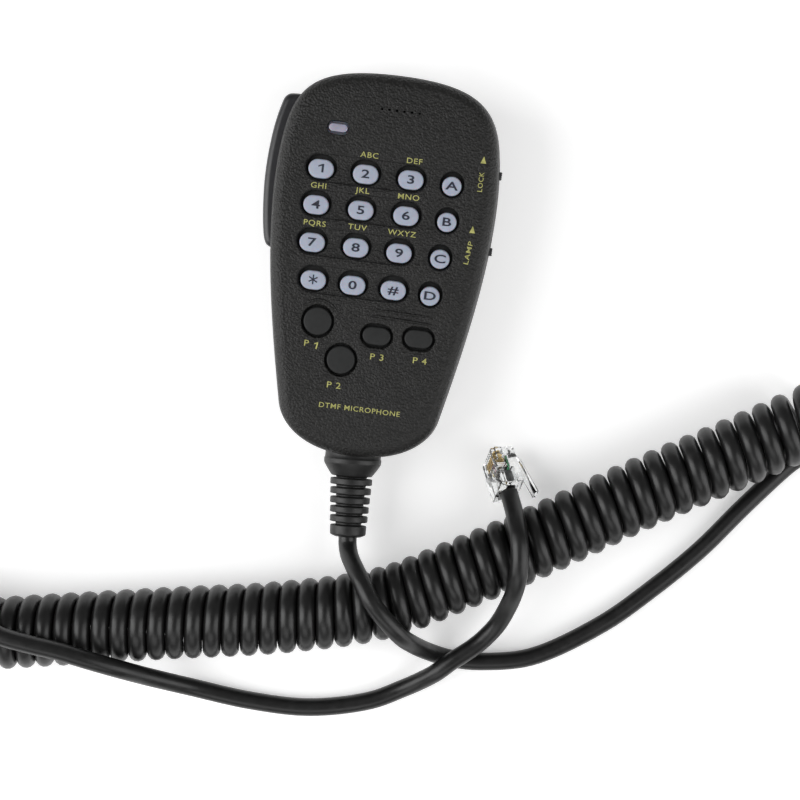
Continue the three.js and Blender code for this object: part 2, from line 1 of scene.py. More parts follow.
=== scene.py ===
"""Hand microphone with a curly cord and a clear modular plug: the looks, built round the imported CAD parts.

Pieces of the microphone are drawn in its own frame in millimetres, as in the CAD: X to the right of the
keypad, Y to the top, Z out of the face. MIC turns that frame into the row's frame in metres.
"""
import math
import random

import bmesh
import bpy
import numpy as np
from mathutils import Matrix, Vector


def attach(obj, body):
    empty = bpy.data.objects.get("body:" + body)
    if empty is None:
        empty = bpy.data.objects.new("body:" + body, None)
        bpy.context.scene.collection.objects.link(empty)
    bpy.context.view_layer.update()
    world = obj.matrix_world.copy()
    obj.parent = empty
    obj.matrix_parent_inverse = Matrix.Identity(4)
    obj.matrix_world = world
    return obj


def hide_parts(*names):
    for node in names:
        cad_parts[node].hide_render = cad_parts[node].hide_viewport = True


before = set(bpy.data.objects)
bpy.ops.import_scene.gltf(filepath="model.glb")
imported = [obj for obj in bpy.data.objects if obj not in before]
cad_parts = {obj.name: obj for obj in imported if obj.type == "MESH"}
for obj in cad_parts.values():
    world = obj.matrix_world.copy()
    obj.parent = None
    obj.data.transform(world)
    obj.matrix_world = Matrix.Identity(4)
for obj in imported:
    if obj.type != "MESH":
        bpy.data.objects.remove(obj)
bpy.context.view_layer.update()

MM = 0.001
CASE = "case"

# ---------- driving dimensions, in millimetres ----------
CASE_TOP = 37.5
CASE_BOTTOM = -66.5
FACE_Z = 22.5
PARTING_Z = 11.5
WALL = 2.0
INNER_FACE_Z = FACE_Z - WALL
HEEL_Y = -62.0
STUD_Y = 2.0
STUD_RADIUS = 7.5
STUD_PROUD = 4.0
LEAN = math.atan(STUD_PROUD / (STUD_Y - STUD_RADIUS - HEEL_Y))
MIC_PLACE = Vector((1.05, 26.4, -HEEL_Y * math.sin(LEAN))) * MM
MIC = Matrix.Translation(MIC_PLACE) @ Matrix.Rotation(LEAN, 4, "X") @ Matrix.Scale(MM, 4)
TO_MIC = MIC.inverted()

PLUG_PLACE = Vector((44.5, -45.1, 12.3)) * MM
PLUG_YAW, PLUG_PITCH, PLUG_ROLL = (math.radians(a) for a in (23, -38, 114))
PLUG = (
    Matrix.Translation(PLUG_PLACE)
    @ Matrix.Rotation(PLUG_YAW, 4, "Z")
    @ Matrix.Rotation(PLUG_PITCH, 4, "X")
    @ Matrix.Rotation(PLUG_ROLL, 4, "Y")
    @ Matrix.Scale(MM, 4)
)
PLUG_WIDTH, PLUG_HEIGHT, PLUG_LENGTH = 9.65, 6.6, 12.3

# name, centre x, centre y, label, kind
KEYS = [
    ("1", -17.6, 9.6, "1", "oval"), ("2", -5.7, 9.6, "2", "oval"), ("3", 6.4, 9.6, "3", "oval"),
    ("a", 17.4, 9.3, "A", "round"),
    ("4", -17.8, 0.0, "4", "oval"), ("5", -5.8, 0.0, "5", "oval"), ("6", 6.3, 0.0, "6", "oval"),
    ("b", 17.3, -0.3, "B", "round"),
    ("7", -17.6, -10.0, "7", "oval"), ("8", -5.9, -10.0, "8", "oval"), ("9", 5.7, -10.0, "9", "oval"),
    ("c", 16.7, -10.2, "C", "round"),
    ("star", -16.1, -19.9, "*", "oval"), ("0", -5.5, -20.0, "0", "oval"), ("hash", 5.4, -20.0, "#", "oval"),
    ("d", 15.3, -20.3, "D", "round"),
    ("p1", -13.6, -30.6, "", "big_round"), ("p2", -6.2, -40.1, "", "big_round"),
    ("p3", 2.5, -32.6, "", "big_oval"), ("p4", 13.7, -32.0, "", "big_oval"),
]
# width, height, well width, well height, how far the well's centre is above the key's, flange width
# and flange height
KEY_SIZES = {
    "oval": (6.8, 5.1, 8.4, 7.1, 0.4, 9.2, 8.0),
    "round": (5.2, 5.2, 6.8, 7.3, 0.4, 8.2, 8.4),
    "big_round": (7.6, 7.6, 9.2, 9.2, 0.0, 10.2, 10.2),
    "big_oval": (7.6, 4.9, 9.2, 6.8, 0.0, 10.0, 7.6),
}
KEY_TOP = FACE_Z + 0.6
FLANGE_TOP = INNER_FACE_Z - 0.3
FLANGE_BOTTOM = FLANGE_TOP - 1.0
TROUGH_DEPTH = 0.7
LENS_PLACE = (-14.4, 20.9)
PRINT_SINK = 0.01
PRINT_THICKNESS = 0.05
CAP_SHARE = 0.73

# text, x, y, cap height, widening, turned
LEGENDS = [
    ("ABC", -5.3, 14.8, 1.5, 1.15, 0), ("DEF", 6.8, 14.7, 1.5, 1.15, 0),
    ("GHI", -17.7, 5.2, 1.5, 1.15, 0), ("JKL", -6.0, 5.3, 1.5, 1.15, 0), ("MNO", 6.4, 5.1, 1.5, 1.15, 0),
    ("PQRS", -17.5, -4.8, 1.5, 1.15, 0), ("TUV", -6.1, -4.5, 1.5, 1.2, 0), ("WXYZ", 5.8, -4.6, 1.5, 1.15, 0),
    ("P", -15.8, -36.7, 1.7, 1.2, 0), ("1", -13.3, -37.1, 1.8, 1.2, -8), ("P 2", -7.2, -47.0, 1.7, 1.2, 0),
    ("P 3", 3.3, -38.1, 1.7, 1.2, 0), ("P 4", 14.8, -37.7, 1.7, 1.2, 0),
    ("LOCK", 24.8, 11.4, 1.35, 1.0, 90), ("LAMP", 23.9, -7.6, 1.35, 1.3, 84),
    ("DTMF MICROPHONE", 0.4, -52.6, 1.4, 1.12, 0),
]
ARROWS = [(24.9, 17.2), (24.3, -1.4)]

CORD_DIAMETER = 5.0
COIL_MEAN_RADIUS = 7.5
COIL_PITCH = 5.04
POINTS_PER_TURN = 26
LEAD_SPACING = 1.8
COIL_AXIS = [
    (-118.5, -106.6, 10.1), (-89.1, -101.1, 10.1), (-45.0, -92.9, 10.1), (-11.0, -86.7, 10.1),
    (14.4, -79.7, 10.1), (34.4, -69.2, 10.1), (56.3, -56.4, 10.1), (78.9, -42.2, 10.1),
    (106.0, -26.2, 11.0), (124.9, -14.5, 13.3),
]
LEAD_FROM_MIC = [
    (2.2, -60.9, 11.15), (2.4, -63.3, 11.2), (2.6, -64.9, 11.4), (3.4, -67.4, 13.4),
    (4.8, -69.6, 16.4), (7.6, -73.4, 20.8),
    (11.2, -78.6, 23.0), (15.6, -83.0, 22.6), (20.0, -87.0, 19.8), (24.5, -90.0, 12.6), (29.0, -92.2, 5.6),
    (33.5, -93.4, 2.8), (37.8, -93.7, 2.6), (43.4, -93.4, 2.6), (57.0, -90.4, 2.6), (75.3, -79.0, 2.6),
    (87.9, -67.6, 2.6), (100.2, -54.7, 2.6), (110.0, -42.2, 2.6), (118.4, -32.0, 2.6), (121.8, -28.2, 2.6),
    (125.3, -24.9, 2.6), (129.2, -21.0, 2.7), (131.1, -17.4, 3.2), (130.6, -14.0, 4.3), (128.2, -11.3, 5.6),
]
LEAD_TO_PLUG = [
    (-121.8, -106.6, 2.7), (-123.0, -102.3, 2.6), (-121.9, -96.2, 2.6), (-117.3, -91.6, 3.1),
    (-111.4, -90.0, 5.6), (-105.2, -90.3, 10.5), (-102.3, -91.1, 14.8), (-99.3, -92.8, 18.8),
    (-93.8, -96.8, 22.4), (-86.4, -99.9, 23.1), (-78.2, -101.2, 23.0), (-70.2, -102.2, 22.4),
    (-62.4, -103.8, 20.9), (-54.6, -105.6, 17.7), (-46.9, -107.9, 10.8), (-36.0, -110.2, 4.6),
    (-19.0, -112.2, 2.7), (-2.2, -112.0, 2.6), (14.2, -108.0, 2.7), (22.2, -103.8, 3.2),
    (27.4, -100.4, 5.2), (31.5, -97.0, 8.1), (35.0, -93.5, 9.0), (38.5, -90.6, 9.1), (41.8, -87.6, 9.1),
    (45.9, -82.0, 10.8), (48.2, -75.6, 15.2), (49.0, -71.3, 19.4), (49.3, -66.8, 22.2),
    (49.0, -61.8, 23.1), (48.2, -57.0, 22.6), (47.3, -53.2, 20.2), (46.4, -50.0, 17.0),
    (45.5, -47.5, 14.3), (44.6, -45.3, 12.5),
]


# ---------- camera ----------
def make_camera():
    """Looks straight down from half a metre, turned a little against the microphone."""
    data = bpy.data.cameras.new("camera")
    data.sensor_width = 36.0
    data.lens = 81.2
    data.clip_start = 0.01
    camera = link("camera", data)
    camera.location = Vector((11.91, -23.85, 506.0)) * MM
    camera.rotation_euler = (0.0, 0.0, math.radians(7.2))
    bpy.context.scene.camera = camera


# ---------- making meshes ----------
def link(name, data):
    made = bpy.data.objects.new(name, data)
    bpy.context.scene.collection.objects.link(made)
    return made


def mesh_from(name, vertices, faces, matrix=MIC):
    mesh = bpy.data.meshes.new(name)
    mesh.from_pydata([tuple(v) for v in vertices], [], faces)
    mesh.transform(matrix)
    mesh.update()
    return link(name, mesh)


def smooth(piece, angle=32.0):
    """Shades smooth, with edges sharper than the angle kept crisp."""
    work = bmesh.new()
    work.from_mesh(piece.data)
    bmesh.ops.remove_doubles(work, verts=work.verts, dist=1e-7)
    bmesh.ops.recalc_face_normals(work, faces=work.faces)
    limit = math.radians(angle)
    for face in work.faces:
        face.smooth = True
    for edge in work.edges:
        edge.smooth = len(edge.link_faces) == 2 and edge.calc_face_angle() < limit
    work.to_mesh(piece.data)
    work.free()
    return piece


def loft(rings):
    """Vertices and faces of a closed solid through rings that all have the same number of points."""
    count = len(rings[0])
    vertices = [p for ring in rings for p in ring]
    faces = [tuple(reversed(range(count)))]
    for level in range(len(rings) - 1):
        for i in range(count):
            a = level * count + i
            b = level * count + (i + 1) % count
            faces.append((a, b, b + count, a + count))
    last = (len(rings) - 1) * count
    faces.append(tuple(range(last, last + count)))
    return vertices, faces


def lathe(profile, segments=48):
    """Rings turned round Z from (radius, z) pairs. A radius of nearly zero closes an end."""
    rings = []
    for radius, z in profile:
        reach = max(radius, 1e-3)
        rings.append([(reach * math.cos(a), reach * math.sin(a), z) for a in full_turn(segments)])
    return loft(rings)


def slot_ring(x, y, width, height, z, inset=0.0, per_end=14):
    """A slot's outline with half-round ends, or a circle, as points at height z."""
    radius = max(min(width, height) / 2 - inset, 0.01)
    reach = abs(width - height) / 2
    step = math.pi / (per_end if reach == 0 else per_end - 1)
    ring = []
    for i in range(2 * per_end):
        end = 1 if i < per_end else -1
        angle = -end * math.pi / 2 + step * (i % per_end)
        along = end * reach + radius * math.cos(angle)
        across = radius * math.sin(angle)
        ring.append((x - across, y + along, z) if height > width else (x + along, y + across, z))
    return ring


def full_turn(count):
    return [2 * math.pi * i / count for i in range(count)]


def prism(outline, z0, z1):
    """Carries an outline from one height to another."""
    return loft([[(x, y, z) for x, y in outline] for z in (z0, z1)])


def quarter_turn(steps):
    """Angles from zero to a right angle, both included."""
    return [math.pi / 2 * i / steps for i in range(steps + 1)]


def box_mesh(x0, x1, y0, y1, z0, z1):
    return prism([(x0, y0), (x1, y0), (x1, y1), (x0, y1)], z0, z1)


def evaluated_mesh(piece):
    graph = bpy.context.evaluated_depsgraph_get()
    return bpy.data.meshes.new_from_object(piece.evaluated_get(graph), depsgraph=graph)


def bake_modifiers(piece):
    baked = evaluated_mesh(piece)
    piece.modifiers.clear()
    piece.data = baked
    return piece


def combine(piece, others, operation="DIFFERENCE"):
    """Cuts the others from the piece, or joins them to it, and removes them."""
    for other in others:
        modifier = piece.modifiers.new("combine", "BOOLEAN")
        modifier.operation = operation
        modifier.solver = "MANIFOLD"
        modifier.object = other
    bake_modifiers(piece)
    for other in others:
        bpy.data.objects.remove(other)
    return piece


def bevel(piece, width, segments=3, angle=35.0):
    modifier = piece.modifiers.new("bevel", "BEVEL")
    modifier.width = width * MM
    modifier.segments = segments
    modifier.limit_method = "ANGLE"
    modifier.angle_limit = math.radians(angle)
    return bake_modifiers(piece)


def solid(shape, matrix=MIC, name="tool"):
    """A piece, or a tool for combine, from the vertices and faces of a closed shape."""
    vertices, faces = shape
    return mesh_from(name, vertices, faces, matrix)


def settle(piece, material, body, node=None, angle=30.0):
    """Gives a piece its material, shading, body and material slot, and hides the imported part that it stands
    for.
    """
    piece.data.materials.clear()
    piece.data.materials.append(material)
    smooth(piece, angle)
    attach(piece, body)
    if node:
        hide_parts(node)
    return piece


def spline_points(points, spacing):
    """Points about a spacing apart on a centripetal Catmull-Rom curve, without its last point."""
    given = [np.array(p, float) for p in points]
    given = [2 * given[0] - given[1]] + given + [2 * given[-1] - given[-2]]
    made = []
    for p0, p1, p2, p3 in zip(given, given[1:], given[2:], given[3:]):
        knots = [0.0]
        for a, b in ((p0, p1), (p1, p2), (p2, p3)):
            knots.append(knots[-1] + math.sqrt(np.linalg.norm(b - a)))
        t0, t1, t2, t3 = knots
        steps = max(2, round(np.linalg.norm(p2 - p1) / spacing))
        for t in (t1 + (t2 - t1) * i / steps for i in range(steps)):
            a1 = (t1 - t) / (t1 - t0) * p0 + (t - t0) / (t1 - t0) * p1
            a2 = (t2 - t) / (t2 - t1) * p1 + (t - t1) / (t2 - t1) * p2
            a3 = (t3 - t) / (t3 - t2) * p2 + (t - t2) / (t3 - t2) * p3
            b1 = (t2 - t) / (t2 - t0) * a1 + (t - t0) / (t2 - t0) * a2
            b2 = (t3 - t) / (t3 - t1) * a2 + (t - t1) / (t3 - t1) * a3
            made.append((t2 - t) / (t2 - t1) * b1 + (t - t1) / (t2 - t1) * b2)
    return made


def tube(points, radius, sides):
    """Vertices and faces of a round tube along points, with its section carried without twist."""
    line = [Vector(p) for p in points]
    side = Vector((0, 0, 1))
    rings = []
    for i, point in enumerate(line):
        along = (line[min(i + 1, len(line) - 1)] - line[max(i - 1, 0)]).normalized()
        if i == 0 and abs(along.dot(side)) > 0.9:
            side = Vector((1, 0, 0))
        side = (side - along * side.dot(along)).normalized()
        up = along.cross(side)
        rings.append([point + (side * math.cos(a) + up * math.sin(a)) * radius for a in full_turn(sides)])
    return loft(rings)


# ---------- materials ----------
def new_material(name, color, roughness, **sockets):
    """A node material with its constant values on the shader's own sockets."""
    made = bpy.data.materials.new(name)
    made.use_nodes = True
    shader = made.node_tree.nodes["Principled BSDF"]
    shader.inputs["Base Color"].default_value = (*color, 1.0)
    shader.inputs["Roughness"].default_value = roughness
    for socket, value in sockets.items():
        shader.inputs[socket.replace("_", " ")].default_value = value
    return made


def node(tree, kind, **values):
    """A new shader node with each value on its input, or on its property of that name."""
    made = tree.nodes.new(kind)
    for name, value in values.items():
        if name in made.inputs:
            made.inputs[name].default_value = value
        else:
            setattr(made, name, value)
    return made


def noise(tree, scale, detail=4.0, rough=0.55, stretch=None):
    """Noise in the row's own metres, so its size is the same on every piece."""
    coords = node(tree, "ShaderNodeTexCoord")
    source = coords.outputs["Object"]
    if stretch:
        mapping = node(tree, "ShaderNodeMapping")
        mapping.inputs["Scale"].default_value = stretch
        tree.links.new(source, mapping.inputs["Vector"])
        source = mapping.outputs["Vector"]
    made = node(tree, "ShaderNodeTexNoise", Scale=scale, Detail=detail, Roughness=rough)
    tree.links.new(source, made.inputs["Vector"])
    return made.outputs["Fac"]


def pebbles(tree, scale, smoothness=0.5):
    """The distance to the nearest of many scattered points, which rises between rounded pebbles."""
    coords = node(tree, "ShaderNodeTexCoord")
    made = node(tree, "ShaderNodeTexVoronoi", feature="SMOOTH_F1")
    made.inputs["Scale"].default_value = scale
    made.inputs["Smoothness"].default_value = smoothness
    tree.links.new(coords.outputs["Object"], made.inputs["Vector"])
    return made.outputs["Distance"]


def ramp(tree, source, stops, socket):
    """Maps a value to colours or greys for a socket."""
    made = node(tree, "ShaderNodeValToRGB")
    elements = made.color_ramp.elements
    while len(elements) < len(stops):
        elements.new(0.5)
    for element, (place, color) in zip(elements, stops):
        element.position = place
        element.color = (*color, 1.0) if isinstance(color, tuple) else (color, color, color, 1.0)
    tree.links.new(source, made.inputs["Fac"])
    tree.links.new(made.outputs["Color"], socket)


def add_bump(tree, shader, source, strength, depth):
    """A bump of a depth in metres."""
    made = node(tree, "ShaderNodeBump", Strength=strength, Distance=depth)
    tree.links.new(source, made.inputs["Height"])
    tree.links.new(made.outputs["Normal"], shader.inputs["Normal"])


def textured(name, low, high, roughness, spread, scale, depth, **sockets):
    """A moulded material: mottled between two colours, with uneven gloss and a fine surface."""
    made = new_material(name, low, roughness, **sockets)
    tree = made.node_tree
    shader = tree.nodes["Principled BSDF"]
    ramp(tree, noise(tree, scale / 6, 5.0), [(0.3, low), (0.7, high)], shader.inputs["Base Color"])
    ramp(tree, noise(tree, scale / 3), [(0.3, roughness - spread), (0.7, roughness + spread)],
         shader.inputs["Roughness"])
    add_bump(tree, shader, noise(tree, scale, 3.0), 0.5, depth)
    return made


def case_material():
    """Dark plastic with a fine leather grain: rounded pebbles about half a millimetre across, with painted
    shade darkening the hollows between them.
    """
    made = new_material("case_grain", (0.014, 0.0135, 0.0125), 0.5, Specular_IOR_Level=0.36)
    tree = made.node_tree
    shader = tree.nodes["Principled BSDF"]
    pebble = pebbles(tree, 1650.0)
    fine = noise(tree, 3400.0, 2.0, 0.5)
    mixed = node(tree, "ShaderNodeMath", operation="MULTIPLY_ADD")
    mixed.inputs[1].default_value = 0.5
    tree.links.new(fine, mixed.inputs[0])
    tree.links.new(pebble, mixed.inputs[2])
    # Painted shade: the colour is darker where the grain is lowest, in the hollows between the pebbles.
    ramp(tree, mixed.outputs[0], [(0.35, (0.016, 0.0156, 0.0145)), (0.75, (0.006, 0.0058, 0.0054))],
         shader.inputs["Base Color"])
    ramp(tree, fine, [(0.35, 0.56), (0.65, 0.40)], shader.inputs["Roughness"])
    height = node(tree, "ShaderNodeMath", operation="SUBTRACT")
    height.inputs[0].default_value = 1.0
    tree.links.new(mixed.outputs[0], height.inputs[1])
    add_bump(tree, shader, height.outputs[0], 0.85, 0.00026)
    return made


def clear_material():
    """Clear plastic with a faint haze and waviness."""
    made = new_material("clear_plastic", (0.98, 0.99, 0.99), 0.04, Transmission_Weight=1.0, IOR=1.38)
    tree = made.node_tree
    shader = tree.nodes["Principled BSDF"]
    ramp(tree, noise(tree, 900.0), [(0.35, 0.01), (0.75, 0.06)], shader.inputs["Roughness"])
    add_bump(tree, shader, noise(tree, 260.0, 2.0), 0.25, 0.0002)
    return made


def brushed_metal(name, low, high, roughness):
    """Metal with fine streaks that vary its colour and gloss."""
    made = new_material(name, low, roughness, Metallic=1.0)
    tree = made.node_tree
    shader = tree.nodes["Principled BSDF"]
    streaks = noise(tree, 900.0, 3.0, 0.6, (1.0, 6.0, 1.0))
    ramp(tree, streaks, [(0.3, low), (0.7, high)], shader.inputs["Base Color"])
    ramp(tree, streaks, [(0.3, roughness - 0.08), (0.7, roughness + 0.1)], shader.inputs["Roughness"])
    add_bump(tree, shader, streaks, 0.3, 3e-5)
    return made


# Darker and lighter colour of each wire in the plug, in their order there
WIRE_COLORS = {
    "wire_green": ((0.01, 0.20, 0.07), (0.015, 0.26, 0.10)),
    "wire_brown": ((0.09, 0.035, 0.015), (0.13, 0.055, 0.025)),
    "wire_white": ((0.6, 0.6, 0.58), (0.72, 0.72, 0.70)),
    "wire_red": ((0.35, 0.02, 0.015), (0.45, 0.03, 0.02)),
    "wire_black": ((0.012, 0.012, 0.012), (0.02, 0.02, 0.02)),
    "wire_yellow": ((0.55, 0.40, 0.03), (0.65, 0.48, 0.05)),
}


def rubbers_and_plastics():
    """Every moulded material: darker and lighter colour, roughness and its spread, grain scale and depth."""
    return {
        "ptt": textured("ptt_plastic", (0.012, 0.012, 0.014), (0.018, 0.018, 0.021), 0.36, 0.05, 5000, 2e-5),
        "pale_key": textured("pale_silicone", (0.33, 0.36, 0.445), (0.37, 0.40, 0.485), 0.5, 0.06, 4200,
                             2e-5, Subsurface_Weight=0.25, Subsurface_Scale=0.0012),
        # Real colour of the big dark keys, and painted shade on the pale keys' sides inside their wells
        "dark_key_and_well_shade": textured("dark_silicone_and_well_shade", (0.010, 0.0105, 0.0105), (0.015, 0.0155, 0.0155), 0.6, 0.06,
                             4500, 3e-5, Specular_IOR_Level=0.35),
        "print": textured("key_print", (0.008, 0.010, 0.022), (0.012, 0.014, 0.03), 0.6, 0.05, 6000, 1e-5),
        "legend": textured("legend_print", (0.30, 0.295, 0.085), (0.44, 0.43, 0.14), 0.6, 0.06, 7000, 1e-5),
        "cord": textured("cord_pvc", (0.006, 0.006, 0.006), (0.010, 0.010, 0.010), 0.36, 0.06, 1500, 4e-5,
                         Specular_IOR_Level=0.4),
        "relief": textured("relief_rubber", (0.008, 0.008, 0.008), (0.013, 0.013, 0.013), 0.45, 0.07, 2600,
                           3e-5, Specular_IOR_Level=0.4),
        "lens": textured("lens_plastic", (0.38, 0.37, 0.47), (0.44, 0.43, 0.53), 0.22, 0.04, 3000, 1e-5,
                         Transmission_Weight=0.25, Subsurface_Weight=0.3, Subsurface_Scale=0.001),
        "board": textured("solder_mask", (0.010, 0.075, 0.030), (0.016, 0.11, 0.045), 0.4, 0.06, 1800, 3e-5),
        "mat": textured("grey_silicone", (0.28, 0.29, 0.30), (0.34, 0.35, 0.36), 0.55, 0.06, 2400, 3e-5),
        "boot": textured("boot_rubber", (0.018, 0.018, 0.018), (0.028, 0.028, 0.028), 0.75, 0.06, 2600, 4e-5),
        "cloth": textured("dust_cloth", (0.008, 0.008, 0.008), (0.02, 0.02, 0.02), 0.9, 0.05, 9000, 8e-5),
        "switch": textured("switch_plastic", (0.035, 0.035, 0.038), (0.05, 0.05, 0.054), 0.5, 0.06, 3000,
                           3e-5),
        "white": textured("natural_nylon", (0.60, 0.59, 0.55), (0.70, 0.69, 0.65), 0.45, 0.06, 2400, 3e-5),
    }


def make_materials():
    looks = {"case": case_material(), "clear": clear_material()}
    looks |= rubbers_and_plastics()
    looks["gold"] = brushed_metal("gold_plate", (0.72, 0.50, 0.20), (0.90, 0.68, 0.32), 0.22)
    looks["steel"] = brushed_metal("plated_steel", (0.50, 0.50, 0.50), (0.68, 0.68, 0.67), 0.3)
    looks["dark_metal"] = brushed_metal("black_screw", (0.03, 0.03, 0.03), (0.06, 0.06, 0.06), 0.38)
    for name, (low, high) in WIRE_COLORS.items():
        looks[name] = textured(name, low, high, 0.4, 0.05, 3000, 2e-5)
    return looks


# ---------- the cord ----------
def coil_pitches(length):
    """How far each turn of the coil goes on, a little uneven, and looser towards its left end."""
    chance = random.Random(7)
    pitches = []
    place = 0.0
    while place < length - 3.0:
        share = place / length
        loose = 0.55 * max(0.0, (share - 0.55) / 0.45) ** 1.5
        pitch = COIL_PITCH + loose + chance.uniform(-0.02, 0.05) + (chance.random() < 0.12) * 0.7 * loose
        pitches.append(pitch)
        place += pitch
    return np.array(pitches) * length / sum(pitches)


def coil_line():
    """The coil's centreline, from its right end to its left, as close turns round the axis."""
    axis = np.array(spline_points(COIL_AXIS, 1.0) + [np.array(COIL_AXIS[-1])])
    steps = np.linalg.norm(np.diff(axis, axis=0), axis=1)
    along = np.concatenate([[0.0], np.cumsum(steps)])
    length = along[-1]
    pitches = coil_pitches(length)
    marks = np.concatenate([[0.0], np.cumsum(pitches)])
    turns = len(pitches)

    def axis_at(distance):
        return np.array([np.interp(distance, along, axis[:, k]) for k in range(3)])

    made = []
    for i in range(turns * POINTS_PER_TURN + 1):
        turn = i / POINTS_PER_TURN
        s = float(np.interp(turn, range(turns + 1), marks))
        s -= 3.4 * max(0.0, 1 - turn / 0.5) ** 2
        s += 4.4 * max(0.0, 1 - (turns - turn) / 0.5) ** 2
        inside = min(max(s, 0.0), length)
        centre = axis_at(inside)
        ahead = axis_at(min(inside + 2, length))
        behind = axis_at(max(inside - 2, 0))
        forward = (ahead - behind) / np.linalg.norm(ahead - behind)
        centre = centre + forward * (s - inside)
        left = np.array([-forward[1], forward[0], 0.0])
        left /= np.linalg.norm(left)
        up = np.cross(forward, left)
        angle = -math.pi / 2 - 2 * math.pi * turn
        made.append(centre + COIL_MEAN_RADIUS * (left * math.cos(angle) + up * math.sin(angle)))
    return made[::-1]


def cord_line():
    """The whole cord from the strain relief to the plug, as one line of points."""
    coil = coil_line()
    first = spline_points(LEAD_FROM_MIC + [tuple(p) for p in coil[2:8:3]], LEAD_SPACING)
    cut = min(range(len(first)), key=lambda i: np.linalg.norm(first[i] - coil[0]))
    second = spline_points([tuple(p) for p in coil[-8:-1:3]] + LEAD_TO_PLUG, LEAD_SPACING)
    start = min(range(len(second)), key=lambda i: np.linalg.norm(second[i] - coil[-1]))
    return first[:cut] + coil + second[start + 1:] + [np.array(LEAD_TO_PLUG[-1])]


def make_cord(mats, plug_pieces):
    """The whole cord as one curve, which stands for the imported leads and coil."""
    line = cord_line()
    curve = bpy.data.curves.new("curly_cord", "CURVE")
    curve.dimensions = "3D"
    curve.bevel_depth = CORD_DIAMETER / 2 * MM
    curve.bevel_resolution = 5
    curve.use_fill_caps = True
    curve.twist_mode = "MINIMUM"
    spline = curve.splines.new("POLY")
    spline.points.add(len(line) - 1)
    for point, place in zip(spline.points, line):
        point.co = (*(place * MM), 1.0)
    spline.use_smooth = True
    cord = link("curly_cord", curve)
    curve.materials.append(mats["cord"])
    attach(cord, CASE)
    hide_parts("cord_lead_mic", "cord_coil", "cord_lead_plug")


# ---------- the case ----------
# Four points of each curve of the right side, from the top to the foot, and its number of steps
CASE_CURVES = [
    ((0, CASE_TOP), (20.9, CASE_TOP), (27.2, 32.4), (29.3, 20.1), 30),
    ((29.3, 20.1), (33.2, -2.2), (26.4, -34), (22.1, -53.9), 30),
    ((22.1, -53.9), (20.9, -59.8), (14.2, CASE_BOTTOM), (0, CASE_BOTTOM), 26),
]
CASE_SCREWS = [(-14, 29.3), (16.5, 28), (-15.5, -53), (15.5, -53)]
PTT_WINDOW = (-40, -20.8, -13, 30.3, 4.8, 15.2)
PTT_PIVOT = (-26.0, -10.2)
PTT_MIDDLE_Z = 10.0
SLIDERS = [("lock", 14.0), ("lamp", -6.5)]
SLIDER_Z = 13.6
BEAD_SINK = 0.15
SOUND_HOLE_RADIUS = 0.35
FRONT_POST_RADIUS = 2.8
REAR_POST_RADIUS = 3.2
SCREW_PILOT_RADIUS = 1.3
SCREW_HOLE_RADIUS = 1.4
SCREW_HEAD_ROOM = 2.5
PIVOT_POST_RADIUS = 2.2
PIVOT_BORE_RADIUS = 1.3
STUD_HOLE_RADIUS = 1.8
CLAMP_POST_RADIUS = 1.9
CLAMP_PILOT_RADIUS = 1
CLAMP_POST = (5, -58)
SOUND_HOLES = [(1.5 + (i - 2.5) * 2.0, 27.2) for i in range(6)]


def case_outline(inset):
    """Points round the case, drawn in by a distance, from the foot anticlockwise."""
    right = []
    for curve in CASE_CURVES:
        a, b, c, d, steps = curve
        places = steps + 1 if curve is CASE_CURVES[-1] else steps
        for i in range(places):
            t = i / steps
            u = 1 - t
            x, y = (u**3 * a[k] + 3 * u * u * t * b[k] + 3 * u * t * t * c[k] + t**3 * d[k] for k in (0, 1))
            dx, dy = (u * u * (b[k] - a[k]) + 2 * u * t * (c[k] - b[k]) + t * t * (d[k] - c[k])
                      for k in (0, 1))
            size = math.hypot(dx, dy)
            right.append((x + dy / size * inset, y - dx / size * inset))
    right.reverse()
    left = [(-x, y) for x, y in reversed(right[1:-1])]
    return right + left


def case_loft(levels):
    """The case's outline at several heights, each with its own inset."""
    return loft([[(x, y, z) for x, y in case_outline(inset)] for z, inset in levels])


def flared(x, y, width, height, top, bottom, lip, steps=5):
    """A cutter for a well whose upper edge is rounded by the lip."""
    rings = [slot_ring(x, y, width, height, top + 1, -lip)]
    for i in range(steps + 1):
        angle = math.pi / 2 * (1 - i / steps)
        level = top - lip + lip * math.sin(angle)
        rings.append(slot_ring(x, y, width, height, level, -lip * (1 - math.cos(angle))))
    rings.append(slot_ring(x, y, width, height, bottom))
    return solid(loft(rings[::-1]))


def cylinder_tool(x, y, radius, z0, z1):
    return solid(loft([slot_ring(x, y, 2 * radius, 2 * radius, z) for z in (z0, z1)]))


def shell_tools():
    """What both shells are cut by: the window for the push-to-talk bar and the hole for the cord."""
    relief_hole = lathe([(4.4, -5), (4.4, 5)])
    turned = Matrix.Translation((0, CASE_BOTTOM, PARTING_Z)) @ Matrix.Rotation(math.pi / 2, 4, "X")
    return [solid(box_mesh(*PTT_WINDOW)), solid(relief_hole, MIC @ turned)]


def ridge(points, half_width, height):
    """A low rounded bead on the face along a line of points."""
    beads = []
    for x, y, share in points:
        ring = []
        for i in range(9):
            angle = math.pi * i / 8
            level = FACE_Z - BEAD_SINK + height * share * math.sin(angle)
            ring.append((x, y - half_width * share * math.cos(angle), level))
        beads.append(ring)
    return solid(loft(beads))


def arc_bead(x, y, radius, first, last, steps=24):
    """A bead round part of a well, thinning out at both ends."""
    made = []
    for i in range(steps + 1):
        angle = math.radians(first + (last - first) * i / steps)
        share = max(0.1, math.sin(math.pi * min(max(i / steps, 0.02), 0.98)) ** 0.4)
        ring = []
        for k in range(9):
            turn = math.pi * k / 8
            reach = radius - 0.4 * share * math.cos(turn)
            ring.append((x + reach * math.cos(angle), y + reach * math.sin(angle),
                         FACE_Z - BEAD_SINK + 0.45 * share * math.sin(turn)))
        made.append(ring)
    return solid(loft(made))


